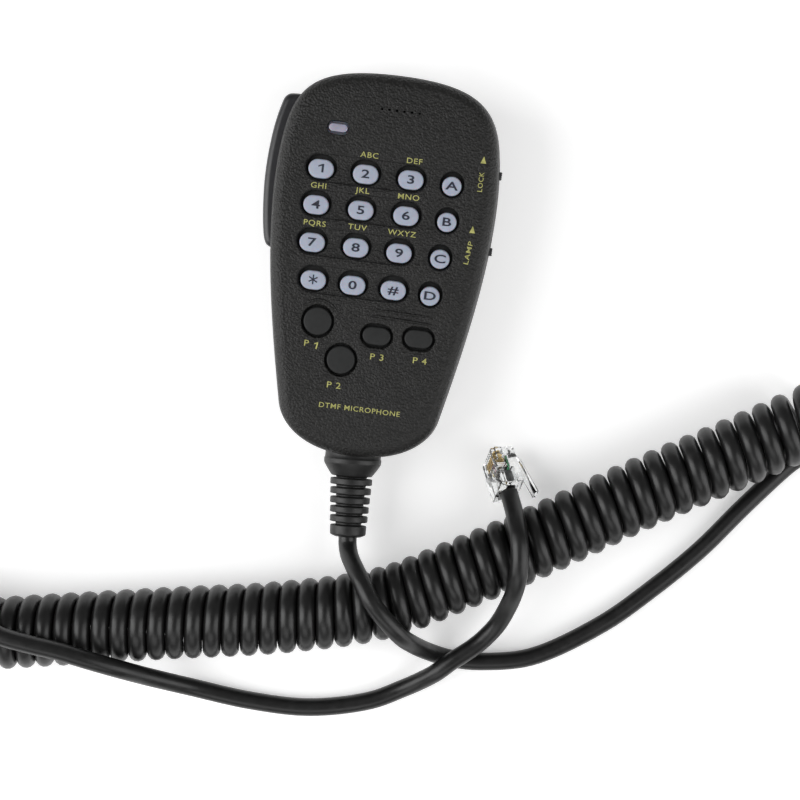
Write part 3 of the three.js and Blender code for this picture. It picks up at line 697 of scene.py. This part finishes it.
def line_bead(start, end, half_width=0.42, height=0.5, steps=16):
    """A straight bead, thinning out at both ends."""
    points = []
    for i in range(steps + 1):
        t = i / steps
        share = max(0.08, math.sin(math.pi * min(max(t, 0.02), 0.98)) ** 0.35)
        points.append((start[0] + (end[0] - start[0]) * t, start[1] + (end[1] - start[1]) * t, share))
    return ridge(points, half_width, height)


def front_levels():
    """Heights and insets of the front shell's outside, from the parting line to the face."""
    fillet = []
    for angle in quarter_turn(12):
        fillet.append((18.9 + (FACE_Z - 18.9) * math.sin(angle), 0.75 + 3.4 * (1 - math.cos(angle))))
    return [(PARTING_Z + 0.06, 0.16), (PARTING_Z + 0.22, 0.0), (14.0, 0.2), (16.6, 0.46)] + fillet


def rear_levels():
    """Heights and insets of the rear shell's outside, from the back to the parting line."""
    levels = []
    for angle in quarter_turn(10):
        levels.append((3 * (1 - math.sin(angle)), 1.5 + 3 * (1 - math.cos(angle))))
    return levels[::-1] + [(PARTING_Z - 0.22, 0.05), (PARTING_Z - 0.06, 0.2)]


def make_front_shell(mats):
    """The front of the case: hollow, with its posts and beads, cut by the wells, troughs and holes."""
    shell = solid(case_loft(front_levels()), name="front_case")
    hollow = solid(case_loft([(PARTING_Z - 1, WALL), (18.5, WALL + 0.7), (INNER_FACE_Z, WALL + 2)]))
    combine(shell, [hollow])
    additions = [cylinder_tool(x, y, FRONT_POST_RADIUS, 13, INNER_FACE_Z + 0.5) for x, y in CASE_SCREWS]
    additions.append(cylinder_tool(*PTT_PIVOT, PIVOT_POST_RADIUS, 15.5, INNER_FACE_Z + 0.5))
    additions.append(line_bead((-0.9, -25.7), (16.8, -25.9)))
    additions.append(line_bead((-1.0, -27.3), (18.1, -27.9)))
    additions.append(arc_bead(-13.6, -30.6, 5.7, 10, 150))
    combine(shell, additions, "UNION")
    tools = shell_tools()
    for _, x, y, _, kind in KEYS:
        _, _, well_width, well_height, rise, _, _ = KEY_SIZES[kind]
        top = FACE_Z - TROUGH_DEPTH if kind == "oval" else FACE_Z
        lip = 0.5 if kind.startswith("big") else 0.35
        tools.append(flared(x, y + rise, well_width - lip, well_height - lip, top, INNER_FACE_Z - 0.5, lip))
    for start in (0, 4, 8, 12):
        row = KEYS[start:start + 3]
        middle = (row[0][1] + row[2][1]) / 2
        width = row[2][1] - row[0][1] + KEY_SIZES["oval"][2] + 0.3
        tools.append(flared(middle, row[1][2] + 0.4, width, 7.3, FACE_Z, FACE_Z - TROUGH_DEPTH, 0.3))
    tools.append(flared(*LENS_PLACE, 6.0, 3.6, FACE_Z, INNER_FACE_Z - 1, 0.3))
    for x, y in SOUND_HOLES:
        tools.append(cylinder_tool(x, y, SOUND_HOLE_RADIUS, INNER_FACE_Z - 1, FACE_Z + 1))
    tools += [cylinder_tool(x, y, SCREW_PILOT_RADIUS, 12, 18.3) for x, y in CASE_SCREWS]
    tools.append(cylinder_tool(*PTT_PIVOT, PIVOT_BORE_RADIUS, 15, 16.9))
    for _, y in SLIDERS:
        tools.append(solid(box_mesh(24, 34, y - 1.5, y + 3.5, SLIDER_Z - 1.1, SLIDER_Z + 1.1)))
    combine(shell, tools)
    settle(shell, mats["case"], CASE, "front_shell")


def make_rear_shell(mats):
    """The back of the case: hollow, with its screw posts and the posts that hold the cord clamp."""
    shell = solid(case_loft(rear_levels()), name="rear_case")
    combine(shell, [solid(case_loft([(WALL, WALL + 3), (4.5, WALL + 1.6), (PARTING_Z + 1, WALL + 0.15)]))])
    posts = [cylinder_tool(x, y, REAR_POST_RADIUS, 1, 12.6) for x, y in CASE_SCREWS]
    posts.append(cylinder_tool(*PTT_PIVOT, PIVOT_POST_RADIUS, 1.8, 4.5))
    for side in (-1, 1):
        posts.append(cylinder_tool(side * CLAMP_POST[0], CLAMP_POST[1], CLAMP_POST_RADIUS, 1, 14))
    combine(shell, posts, "UNION")
    tools = shell_tools()
    tools += [cylinder_tool(x, y, SCREW_HEAD_ROOM, -1, 3) for x, y in CASE_SCREWS]
    tools += [cylinder_tool(x, y, SCREW_HOLE_RADIUS, 2, 14) for x, y in CASE_SCREWS]
    tools.append(cylinder_tool(*PTT_PIVOT, PIVOT_BORE_RADIUS, 2.8, 5))
    tools.append(cylinder_tool(*CLAMP_POST, CLAMP_PILOT_RADIUS, 9.5, 15))
    tools.append(cylinder_tool(0, STUD_Y, STUD_HOLE_RADIUS, -1, 3))
    combine(shell, tools)
    settle(shell, mats["case"], CASE, "rear_shell")


# ---------- keys ----------
def cap_rings(x, y, width, height, low, top, side=0.06, edge=0.42, drop=0.42, dome=0.08):
    """Rings of a key's cap: a slightly drafted side, a soft edge and a faintly domed top."""
    rings = [slot_ring(x, y, width, height, low), slot_ring(x, y, width, height, FACE_Z - 0.8),
             slot_ring(x, y, width, height, top - dome - drop, side)]
    for angle in quarter_turn(7)[1:]:
        level = top - dome - drop * (1 - math.sin(angle))
        rings.append(slot_ring(x, y, width, height, level, side + edge * (1 - math.cos(angle))))
    flat = min(width, height) / 2 - side - edge
    for share in (0.3, 0.6, 0.85):
        rise = dome * (1 - (1 - share) ** 2)
        rings.append(slot_ring(x, y, width, height, top - dome + rise, side + edge + flat * share))
    return rings


def flange(x, y, width, height):
    """The plate under the face that keeps a key or the lens from falling out."""
    return solid(loft([slot_ring(x, y, width, height, z) for z in (FLANGE_BOTTOM, FLANGE_TOP)]))


def make_keys(mats):
    """Each key: its cap, its flange under the face, sides below the face painted dark as the shade in its
    well, and its printed figure.
    """
    for name, x, y, label, kind in KEYS:
        width, height, _, _, _, flange_width, flange_height = KEY_SIZES[kind]
        dark = kind.startswith("big")
        top = KEY_TOP - (0.1 if dark else 0.0)
        key = solid(loft(cap_rings(x, y, width, height, FLANGE_TOP - 0.1, top)), name="keycap_" + name)
        combine(key, [flange(x, y, flange_width, flange_height)], "UNION")
        look, slot = ("dark_key_and_well_shade", "dark_keys") if dark else ("pale_key", "pale_keys")
        settle(key, mats[look], "key_" + name, "key_" + name, 40)
        # Painted shade: faces below the face level, inside the well, get the dark material as the shade in
        # the well round the key.
        key.data.materials.append(mats["dark_key_and_well_shade"])
        for face in key.data.polygons:
            face.material_index = 1 if (TO_MIC @ face.center).z < FACE_Z - 0.75 else 0
        if label:
            printed = lettering("digit_" + name, label, x, y + 0.15, 2.25, 1.5, 0, top - 0.12, 0.16, 1.1,
                                weight=0.018)
            settle(printed, mats["print"], "key_" + name)


# ---------- lettering ----------
def star_mesh(name, x, y, size, bottom, thick):
    """A printed star made of three crossed bars."""
    bars = []
    for angle in (math.pi / 2, math.pi / 6, -math.pi / 6):
        dx, dy = math.cos(angle) * size / 2, math.sin(angle) * size / 2
        nx, ny = -math.sin(angle) * 0.17, math.cos(angle) * 0.17
        ring = [(x - dx - nx, y - dy - ny), (x + dx - nx, y + dy - ny), (x + dx + nx, y + dy + ny),
                (x - dx + nx, y - dy + ny)]
        bars.append(solid(prism(ring, bottom, bottom + thick), name=name))
    return combine(bars[0], bars[1:], "UNION")


def one_mesh(name):
    """A figure 1 with a flag, which the plain typeface lacks, as tall as its capitals and one unit thick."""
    ring = [(0.30, 0.0), (0.42, 0.0), (0.42, CAP_SHARE), (0.33, CAP_SHARE), (0.10, 0.56), (0.10, 0.44),
            (0.30, 0.57)]
    return solid(prism(ring, -0.5, 0.5), Matrix.Identity(4), name)


def lettering(name, text, x, y, cap_height, widen, turned, bottom, thick, spacing, weight):
    """Flat raised letters, centred on a point of the face."""
    if text == "*":
        return star_mesh(name, x, y, cap_height * 1.15, bottom, thick)
    if text == "1":
        drawn = one_mesh("drawn_" + name)
    else:
        curve = bpy.data.curves.new(name, "FONT")
        curve.body = text
        curve.size = 1.0
        curve.align_x = "CENTER"
        curve.space_character = spacing
        curve.resolution_u = 4
        curve.extrude = 0.5
        curve.offset = weight
        drawn = link("drawn_" + name, curve)
    mesh = evaluated_mesh(drawn)
    bpy.data.objects.remove(drawn)
    corners = np.array([v.co for v in mesh.vertices])
    low, high = corners.min(0), corners.max(0)
    middle = (low + high) / 2
    scale = cap_height / CAP_SHARE
    shape = (
        Matrix.Translation((x, y, bottom + thick / 2))
        @ Matrix.Rotation(math.radians(turned), 4, "Z")
        @ Matrix.Diagonal((scale * widen, scale, thick, 1))
        @ Matrix.Translation((-middle[0], -CAP_SHARE / 2, 0))
    )
    mesh.transform(MIC @ shape)
    return link(name, mesh)


def make_legends(mats):
    """The words and arrows printed on the face."""
    for i, (text, x, y, cap_height, widen, turned) in enumerate(LEGENDS):
        name = f"legend_{i + 1}"
        printed = lettering(name, text, x, y, cap_height, widen, turned, FACE_Z - PRINT_SINK, PRINT_THICKNESS,
                            1.12, weight=0.004)
        settle(printed, mats["legend"], CASE)
    for i, (x, y) in enumerate(ARROWS):
        ring = [(x - 0.75, y - 0.9), (x + 0.75, y - 0.9), (x, y + 1.0)]
        low = FACE_Z - PRINT_SINK
        arrow = solid(prism(ring, low, low + PRINT_THICKNESS), name=f"arrow_{i + 1}")
        settle(arrow, mats["legend"], CASE)


# ---------- push-to-talk bar ----------
PTT_OUTER = [
    (-24.0, 29.2), (-27.0, 29.3), (-29.0, 29.0), (-30.1, 28.0), (-30.8, 26.0), (-32.0, 20.5), (-32.8, 13.0),
    (-33.0, 6.0), (-32.7, 0.0), (-32.0, -6.5), (-31.2, -10.5), (-30.4, -12.0), (-29.0, -12.7), (-25.0, -12.7),
]
PTT_INNER = [(-23.6, -8.4), (-27.2, -4.5), (-27.2, 12.0), (-24.9, 15.0), (-23.9, 23.6)]
PTT_HALF_HEIGHT = 4.65
PTT_EDGE_RADIUS = 1.7
PTT_EDGE_STEPS = 8
PTT_FADE_POINTS = 6


def ptt_directions(outline, outer_count):
    """At each point of the outline, the way out of it and how much its long edges are rounded there."""
    made = []
    for i in range(len(outline)):
        before, after = outline[i - 1], outline[(i + 1) % len(outline)]
        dx, dy = after[0] - before[0], after[1] - before[1]
        size = math.hypot(dx, dy)
        ends = min(i, outer_count - 1 - i) / PTT_FADE_POINTS if i < outer_count else 0.0
        made.append((dy / size, -dx / size, min(max(ends, 0.0), 1.0)))
    return made


def ptt_rings():
    """The bar's outline from its bottom to its top, drawn in where its long edges are rounded."""
    outer = [tuple(p[:2]) for p in spline_points([(x, y, 0.0) for x, y in PTT_OUTER], 0.7)] + [PTT_OUTER[-1]]
    outline = outer + PTT_INNER
    directions = ptt_directions(outline, len(outer))
    rings = []
    for i in range(-PTT_EDGE_STEPS, PTT_EDGE_STEPS + 1):
        side = (i > 0) - (i < 0)
        angle = math.pi / 2 * abs(i) / PTT_EDGE_STEPS
        inset = PTT_EDGE_RADIUS * (1 - math.cos(angle))
        flat = PTT_HALF_HEIGHT - PTT_EDGE_RADIUS
        z = PTT_MIDDLE_Z + side * (flat + PTT_EDGE_RADIUS * math.sin(angle))
        rings.append([(x - nx * share * inset, y - ny * share * inset, z)
                      for (x, y), (nx, ny, share) in zip(outline, directions)])
    return rings


def make_ptt_bar(mats):
    """The talk bar, with its stop, its pusher, the bore for its pin and room for its spring."""
    bar = solid(loft(ptt_rings()), name="talk_bar")
    stop_ring = [(-25.3, 16), (-24.3, 16), (-23.4, 23.4), (-24.3, 23.4)]
    stop = solid(prism(stop_ring, 3.8, 16.2))
    pusher = solid(box_mesh(-28, -24.2, 8, 12, PTT_MIDDLE_Z - 1.5, PTT_MIDDLE_Z + 1.5))
    combine(bar, [stop, pusher], "UNION")
    bore = cylinder_tool(*PTT_PIVOT, PIVOT_BORE_RADIUS, 0, 20)
    spring_room = cylinder_tool(*PTT_PIVOT, 2.9, PTT_MIDDLE_Z - 2, PTT_MIDDLE_Z + 2)
    leg_room = solid(box_mesh(-28, -20, -10.2, -6.4, PTT_MIDDLE_Z - 2, PTT_MIDDLE_Z + 2))
    combine(bar, [bore, spring_room, leg_room])
    settle(bar, mats["ptt"], "ptt_bar", "ptt_bar", 34)


# ---------- slide switches' nubs ----------
def make_sliders(mats):
    """The two nubs, each with three grooves for the thumb, a guide plate and a stem inside."""
    for name, y in SLIDERS:
        block = box_mesh(26.5, 30.6, y - 1.1, y + 1.1, SLIDER_Z - 0.8, SLIDER_Z + 0.8)
        nub = solid(block, name=name + "_nub")
        bevel(nub, 0.28, 3)
        grooves = []
        for i in (-1, 0, 1):
            middle = y + 0.62 * i
            grooves.append(solid(box_mesh(30.5, 31.2, middle - 0.12, middle + 0.12, 12.0, 15.2)))
        combine(nub, grooves)
        guide = solid(box_mesh(26, 26.8, y - 3.2, y + 3.2, SLIDER_Z - 1.8, SLIDER_Z + 1.8))
        stem = solid(box_mesh(23.6, 26.2, y - 0.9, y + 0.9, SLIDER_Z - 0.6, SLIDER_Z + 0.6))
        combine(nub, [guide, stem], "UNION")
        settle(nub, mats["ptt"], name + "_slider", name + "_slider")


# ---------- lens, stud, screws and strain relief ----------
def make_lens(mats):
    """The indicator's small window, with its flange under the face."""
    rings = cap_rings(*LENS_PLACE, 5.0, 2.1, FLANGE_TOP - 0.1, FACE_Z + 0.12, 0.02, 0.3, 0.28, 0.06)
    lens = solid(loft(rings), name="lamp_lens")
    combine(lens, [flange(*LENS_PLACE, 7.0, 4.5)], "UNION")
    settle(lens, mats["lens"], CASE, "indicator_lens", 40)


def rounded_profile(points, radius, steps=4):
    """A lathe profile with each inner corner rounded by up to the radius."""
    made = [points[0]]
    for before, corner, after in zip(points, points[1:], points[2:]):
        a, c, b = (np.array(p, float) for p in (before, corner, after))
        first, second = a - c, b - c
        reach = min(radius, np.linalg.norm(first) / 2, np.linalg.norm(second) / 2)
        start = c + first / np.linalg.norm(first) * reach
        stop = c + second / np.linalg.norm(second) * reach
        for i in range(steps + 1):
            t = i / steps
            made.append(tuple((1 - t) ** 2 * start + 2 * t * (1 - t) * c + t * t * stop))
    return made + [points[-1]]


def make_stud(mats):
    """The hang-up stud: a turned ring with a groove under its head and a hole for its screw."""
    profile = [(1.7, -0.3), (5.0, -0.3), (5.0, -1.9), (7.0, -2.0), (7.5, -2.6), (7.5, -3.6), (7.1, -4.0),
               (3.0, -4.0), (3.0, -2.2), (1.7, -2.2)]
    count = 64
    rings = []
    for r, z in rounded_profile(profile, 0.35):
        rings.append([(r * math.cos(a), STUD_Y + r * math.sin(a), z) for a in full_turn(count)])
    vertices = [p for ring in rings for p in ring]
    faces = []
    for level in range(len(rings)):
        following = (level + 1) % len(rings)
        for i in range(count):
            j = (i + 1) % count
            faces.append((level * count + i, following * count + i, following * count + j,
                          level * count + j))
    stud = mesh_from("hang_up_stud", vertices, faces)
    settle(stud, mats["ptt"], CASE, "hanger_stud", 35)


def make_screw(name, node_name, x, y, head_radius, head_low, head_high, shank_radius, shank_high, mat):
    """A pan-head screw seen from the back, with a cross recess and a threaded shank."""
    profile = [(0.001, head_low + 0.05), (head_radius * 0.55, head_low), (head_radius, head_low + 0.5),
               (head_radius, head_high), (shank_radius, head_high)]
    thread = []
    z = head_high + 0.2
    while z < shank_high - 0.8:
        thread += [(shank_radius, z), (shank_radius * 0.8, z + 0.3)]
        z += 0.6
    tip = [(shank_radius * 0.8, shank_high - 0.6), (0.001, shank_high)]
    turned = lathe(rounded_profile(profile, 0.3) + thread + tip, 32)
    screw = solid(turned, MIC @ Matrix.Translation((x, y, 0)), name)
    reach = head_radius * 0.6
    cross = [
        solid(box_mesh(x - reach, x + reach, y - 0.25, y + 0.25, head_low - 1, head_low + 0.7)),
        solid(box_mesh(x - 0.25, x + 0.25, y - reach, y + reach, head_low - 1, head_low + 0.7)),
    ]
    combine(screw, cross)
    settle(screw, mat, CASE, node_name)


def make_screws(mats):
    """The four screws in the back and the one that holds the stud."""
    for i, (x, y) in enumerate(CASE_SCREWS):
        make_screw(f"back_screw_{i + 1}", f"case_screw_{i + 1}", x, y, 2.1, 0.9, 2.7, 1.0, 17.8,
                   mats["dark_metal"])
    make_screw("stud_fixing", "stud_screw", 0.0, STUD_Y, 2.6, -3.8, -2.5, 1.25, 4.6, mats["steel"])


def make_relief(mats):
    """The ribbed rubber sleeve that keeps the cord from bending sharply where it leaves the case."""
    core, pitch, wide, count, first, collar, end = 4.1, 2.55, 1.85, 5, 6.0, 18.8, 22.1
    stations = [(0.001, -5.6), (5.5, -5.6), (5.5, -4.2), (4.0, -4.2), (4.0, 0.3), (7.6, 0.3), (7.9, 0.8),
                (7.8, 2.0), (7.2, 3.0), (6.1, 4.6), (5.5, 5.4), (4.3, 5.5)]
    for i in range(count):
        start = first + i * pitch
        inner = core - 0.6 * (start - first) / (collar - first)
        rib = 5.75 - 0.14 * i
        stations += [(inner, start), (rib, start + 0.08), (rib, start + wide - 0.08), (inner, start + wide)]
    stations += [(3.5, collar), (5.0, collar + 0.1), (4.9, end - 0.6), (3.6, end), (2.45, end)]
    stations += [(2.45, end - 2.4), (0.001, end - 2.4)]
    turned = (
        Matrix.Translation((0, CASE_BOTTOM, PARTING_Z))
        @ Matrix.Rotation(math.radians(3.3), 4, "Z")
        @ Matrix.Rotation(-LEAN, 4, "X")
        @ Matrix.Rotation(math.pi / 2, 4, "X")
    )
    sleeve = solid(lathe(rounded_profile(stations, 0.3), 56), MIC @ turned, "cord_sleeve")
    skirt_profile = [(0.001, -4.0), (7.4, -4.0), (7.7, 0.6), (7.7, 1.4), (0.001, 1.4)]
    skirt = solid(lathe(skirt_profile, 56), MIC @ turned)
    combine(skirt, [solid(case_loft(front_levels())), solid(case_loft(rear_levels()))])
    combine(sleeve, [skirt], "UNION")
    settle(sleeve, mats["relief"], CASE, "strain_relief", 60)


# ---------- the plug ----------
CONTACTS = 6
PLUG_BOTTOM = -PLUG_HEIGHT / 2


def contact_x(i):
    """How far the i-th of the six contacts is from the plug's middle."""
    return (i - 2.5) * 1.02


def make_plug_shell(mats):
    """The clear body, cut by the cord's opening and the slots of the contacts and wires."""
    side = PLUG_WIDTH / 2
    shell = solid(box_mesh(-side, side, 0, PLUG_LENGTH, PLUG_BOTTOM, -PLUG_BOTTOM), PLUG, "plug_shell")
    bevel(shell, 0.3, 3)
    tools = [solid(box_mesh(-3.1, 3.1, -1, 6, -1.2, 2.0), PLUG)]
    for middle in (-side, side):
        tools.append(solid(box_mesh(middle - 0.8, middle + 0.8, 8, 13.3, -5, PLUG_BOTTOM + 1), PLUG))
    for x in (contact_x(i) for i in range(CONTACTS)):
        tools.append(solid(box_mesh(x - 0.35, x + 0.35, 7.5, 13.3, -5, PLUG_BOTTOM + 3.4), PLUG))
        tools.append(solid(box_mesh(x - 0.4, x + 0.4, 5.9, 10.5, 0.28, 1.12), PLUG))
    tools.append(solid(box_mesh(-3.0, 3.0, 2.2, 4.0, 2.6, 4.0), PLUG))
    combine(shell, tools)
    return settle(shell, mats["clear"], CASE, "plug_body")


def make_plug_tab(mats):
    """The springy latch, which starts at the nose and slants back over the body."""
    outline = [(0, 0.35), (0, 1.6), (-3, 2.8), (-13.4, 4.9), (-13.4, 4.0), (-3.2, 1.7), (-1.3, 1.2),
               (-1.3, 0.35)]
    rings = [[(x, PLUG_LENGTH + y, z - PLUG_BOTTOM) for y, z in outline] for x in (-1.6, 1.6)]
    tab = solid(loft(rings), PLUG, "plug_tab")
    bevel(tab, 0.13, 2)
    return settle(tab, mats["clear"], "plug_latch", "plug_latch")


def make_contact(mats, i):
    """A gold blade with two points that bite into its wire."""
    low = PLUG_BOTTOM + 0.5
    outline = [(7.9, low + 2.6), (7.9, low + 0.5), (8.3, low), (11.1, low), (11.8, low + 0.6),
               (11.8, low + 2.2), (10.6, low + 2.2), (10.2, low + 2.6), (9.6, low + 2.2), (8.9, low + 2.6)]
    rings = [[(contact_x(i) + side, y, z) for y, z in outline] for side in (-0.16, 0.16)]
    contact = solid(loft(rings), PLUG, f"contact_blade_{i + 1}")
    bevel(contact, 0.05, 2)
    return settle(contact, mats["gold"], CASE, f"plug_contact_{i + 1}")


def make_jacket_end(mats):
    """The end of the cord's jacket, pressed flat inside the plug."""
    rings = []
    for y in (0.3, 5.2):
        rings.append([(x, y, 0.4 + z) for x, z, _ in slot_ring(0, 0, 5.4, 2.7, 0)])
    jacket = solid(loft(rings), PLUG, "plug_jacket_end")
    bevel(jacket, 0.2, 2)
    return settle(jacket, mats["cord"], CASE, None, 40)


def make_plug_wire(mats, i, color):
    """One wire, from the end of the jacket to under its contact."""
    x = contact_x(i)
    line = [(x * 0.86, 5.25, 0.45), (x, 6.2, 0.7), (x, 8.0, 0.7), (x, 10.3, 0.7)]
    wire = solid(tube(spline_points(line, 0.5), 0.36, 12), PLUG, f"plug_wire_{i + 1}")
    return settle(wire, mats[color], CASE, None, 50)


def make_plug(mats):
    """A clear six-way modular plug with its latch, contacts, jacket and wires, as a list of pieces."""
    pieces = [make_plug_shell(mats), make_plug_tab(mats)]
    pieces += [make_contact(mats, i) for i in range(CONTACTS)]
    pieces.append(make_jacket_end(mats))
    return pieces + [make_plug_wire(mats, i, color) for i, color in enumerate(WIRE_COLORS)]


# ---------- looks of the pieces that stay as packed ----------
NODE_LOOKS = {
    "keypad_mat": "mat", "main_board": "board", "mic_capsule": "steel", "capsule_boot": "boot",
    "dust_cloth": "cloth",
    "ptt_pivot_pin": "steel", "ptt_spring": "steel", "ptt_switch": "switch", "ptt_plunger": "white",
    "lock_switch": "switch", "lamp_switch": "switch", "stud_nut_plate": "steel", "cord_clamp": "switch",
    "clamp_screw": "steel", "wire_header": "white", "inner_wires": "cord",
}


def dress_nodes(mats):
    """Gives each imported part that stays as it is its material."""
    for name, look in NODE_LOOKS.items():
        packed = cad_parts[name]
        packed.data.materials.clear()
        packed.data.materials.append(mats[look])


# ---------- floor and light, in metres ----------
FLOOR_REACH = 3.0
WORLD_STRENGTH = 0.2
# name, place, width, length, power in watts
SOFTBOXES = [
    ("left_softbox", (-0.80, -0.15, 0.55), 0.7, 1.1, 9.5),
    ("right_softbox", (0.80, -0.15, 0.55), 0.7, 1.1, 6.0),
    ("front_softbox", (-0.1, -0.85, 0.70), 1.0, 0.5, 2.6),
]


def make_floor():
    signs = ((-1, -1), (1, -1), (1, 1), (-1, 1))
    corners = [(side * FLOOR_REACH, end * FLOOR_REACH, 0) for side, end in signs]
    mesh = bpy.data.meshes.new("floor")
    mesh.from_pydata(corners, [], [(0, 1, 2, 3)])
    paper = new_material("paper", (0.9, 0.9, 0.9), 0.6, Emission_Color=(1, 1, 1, 1), Emission_Strength=0.36)
    mesh.materials.append(paper)
    link("floor", mesh)


def make_lights():
    """A faint even glow, and three softboxes that all face the middle."""
    world = bpy.data.worlds.new("studio")
    bpy.context.scene.world = world
    world.use_nodes = True
    world.node_tree.nodes["Background"].inputs["Color"].default_value = (1, 1, 1, 1)
    world.node_tree.nodes["Background"].inputs["Strength"].default_value = WORLD_STRENGTH

    for name, place, width, length, power in SOFTBOXES:
        data = bpy.data.lights.new(name, "AREA")
        data.shape = "RECTANGLE"
        data.size = width
        data.size_y = length
        data.energy = power
        lamp = link(name, data)
        lamp.location = place
        lamp.rotation_euler = (Vector((0, 0, 0)) - lamp.location).to_track_quat("-Z", "Y").to_euler()
    bpy.context.scene.view_settings.view_transform = "Standard"


make_camera()
materials = make_materials()
make_cord(materials, make_plug(materials))
make_front_shell(materials)
make_rear_shell(materials)
make_keys(materials)
make_legends(materials)
make_ptt_bar(materials)
make_sliders(materials)
make_lens(materials)
make_stud(materials)
make_screws(materials)
make_relief(materials)
dress_nodes(materials)
make_floor()
make_lights()
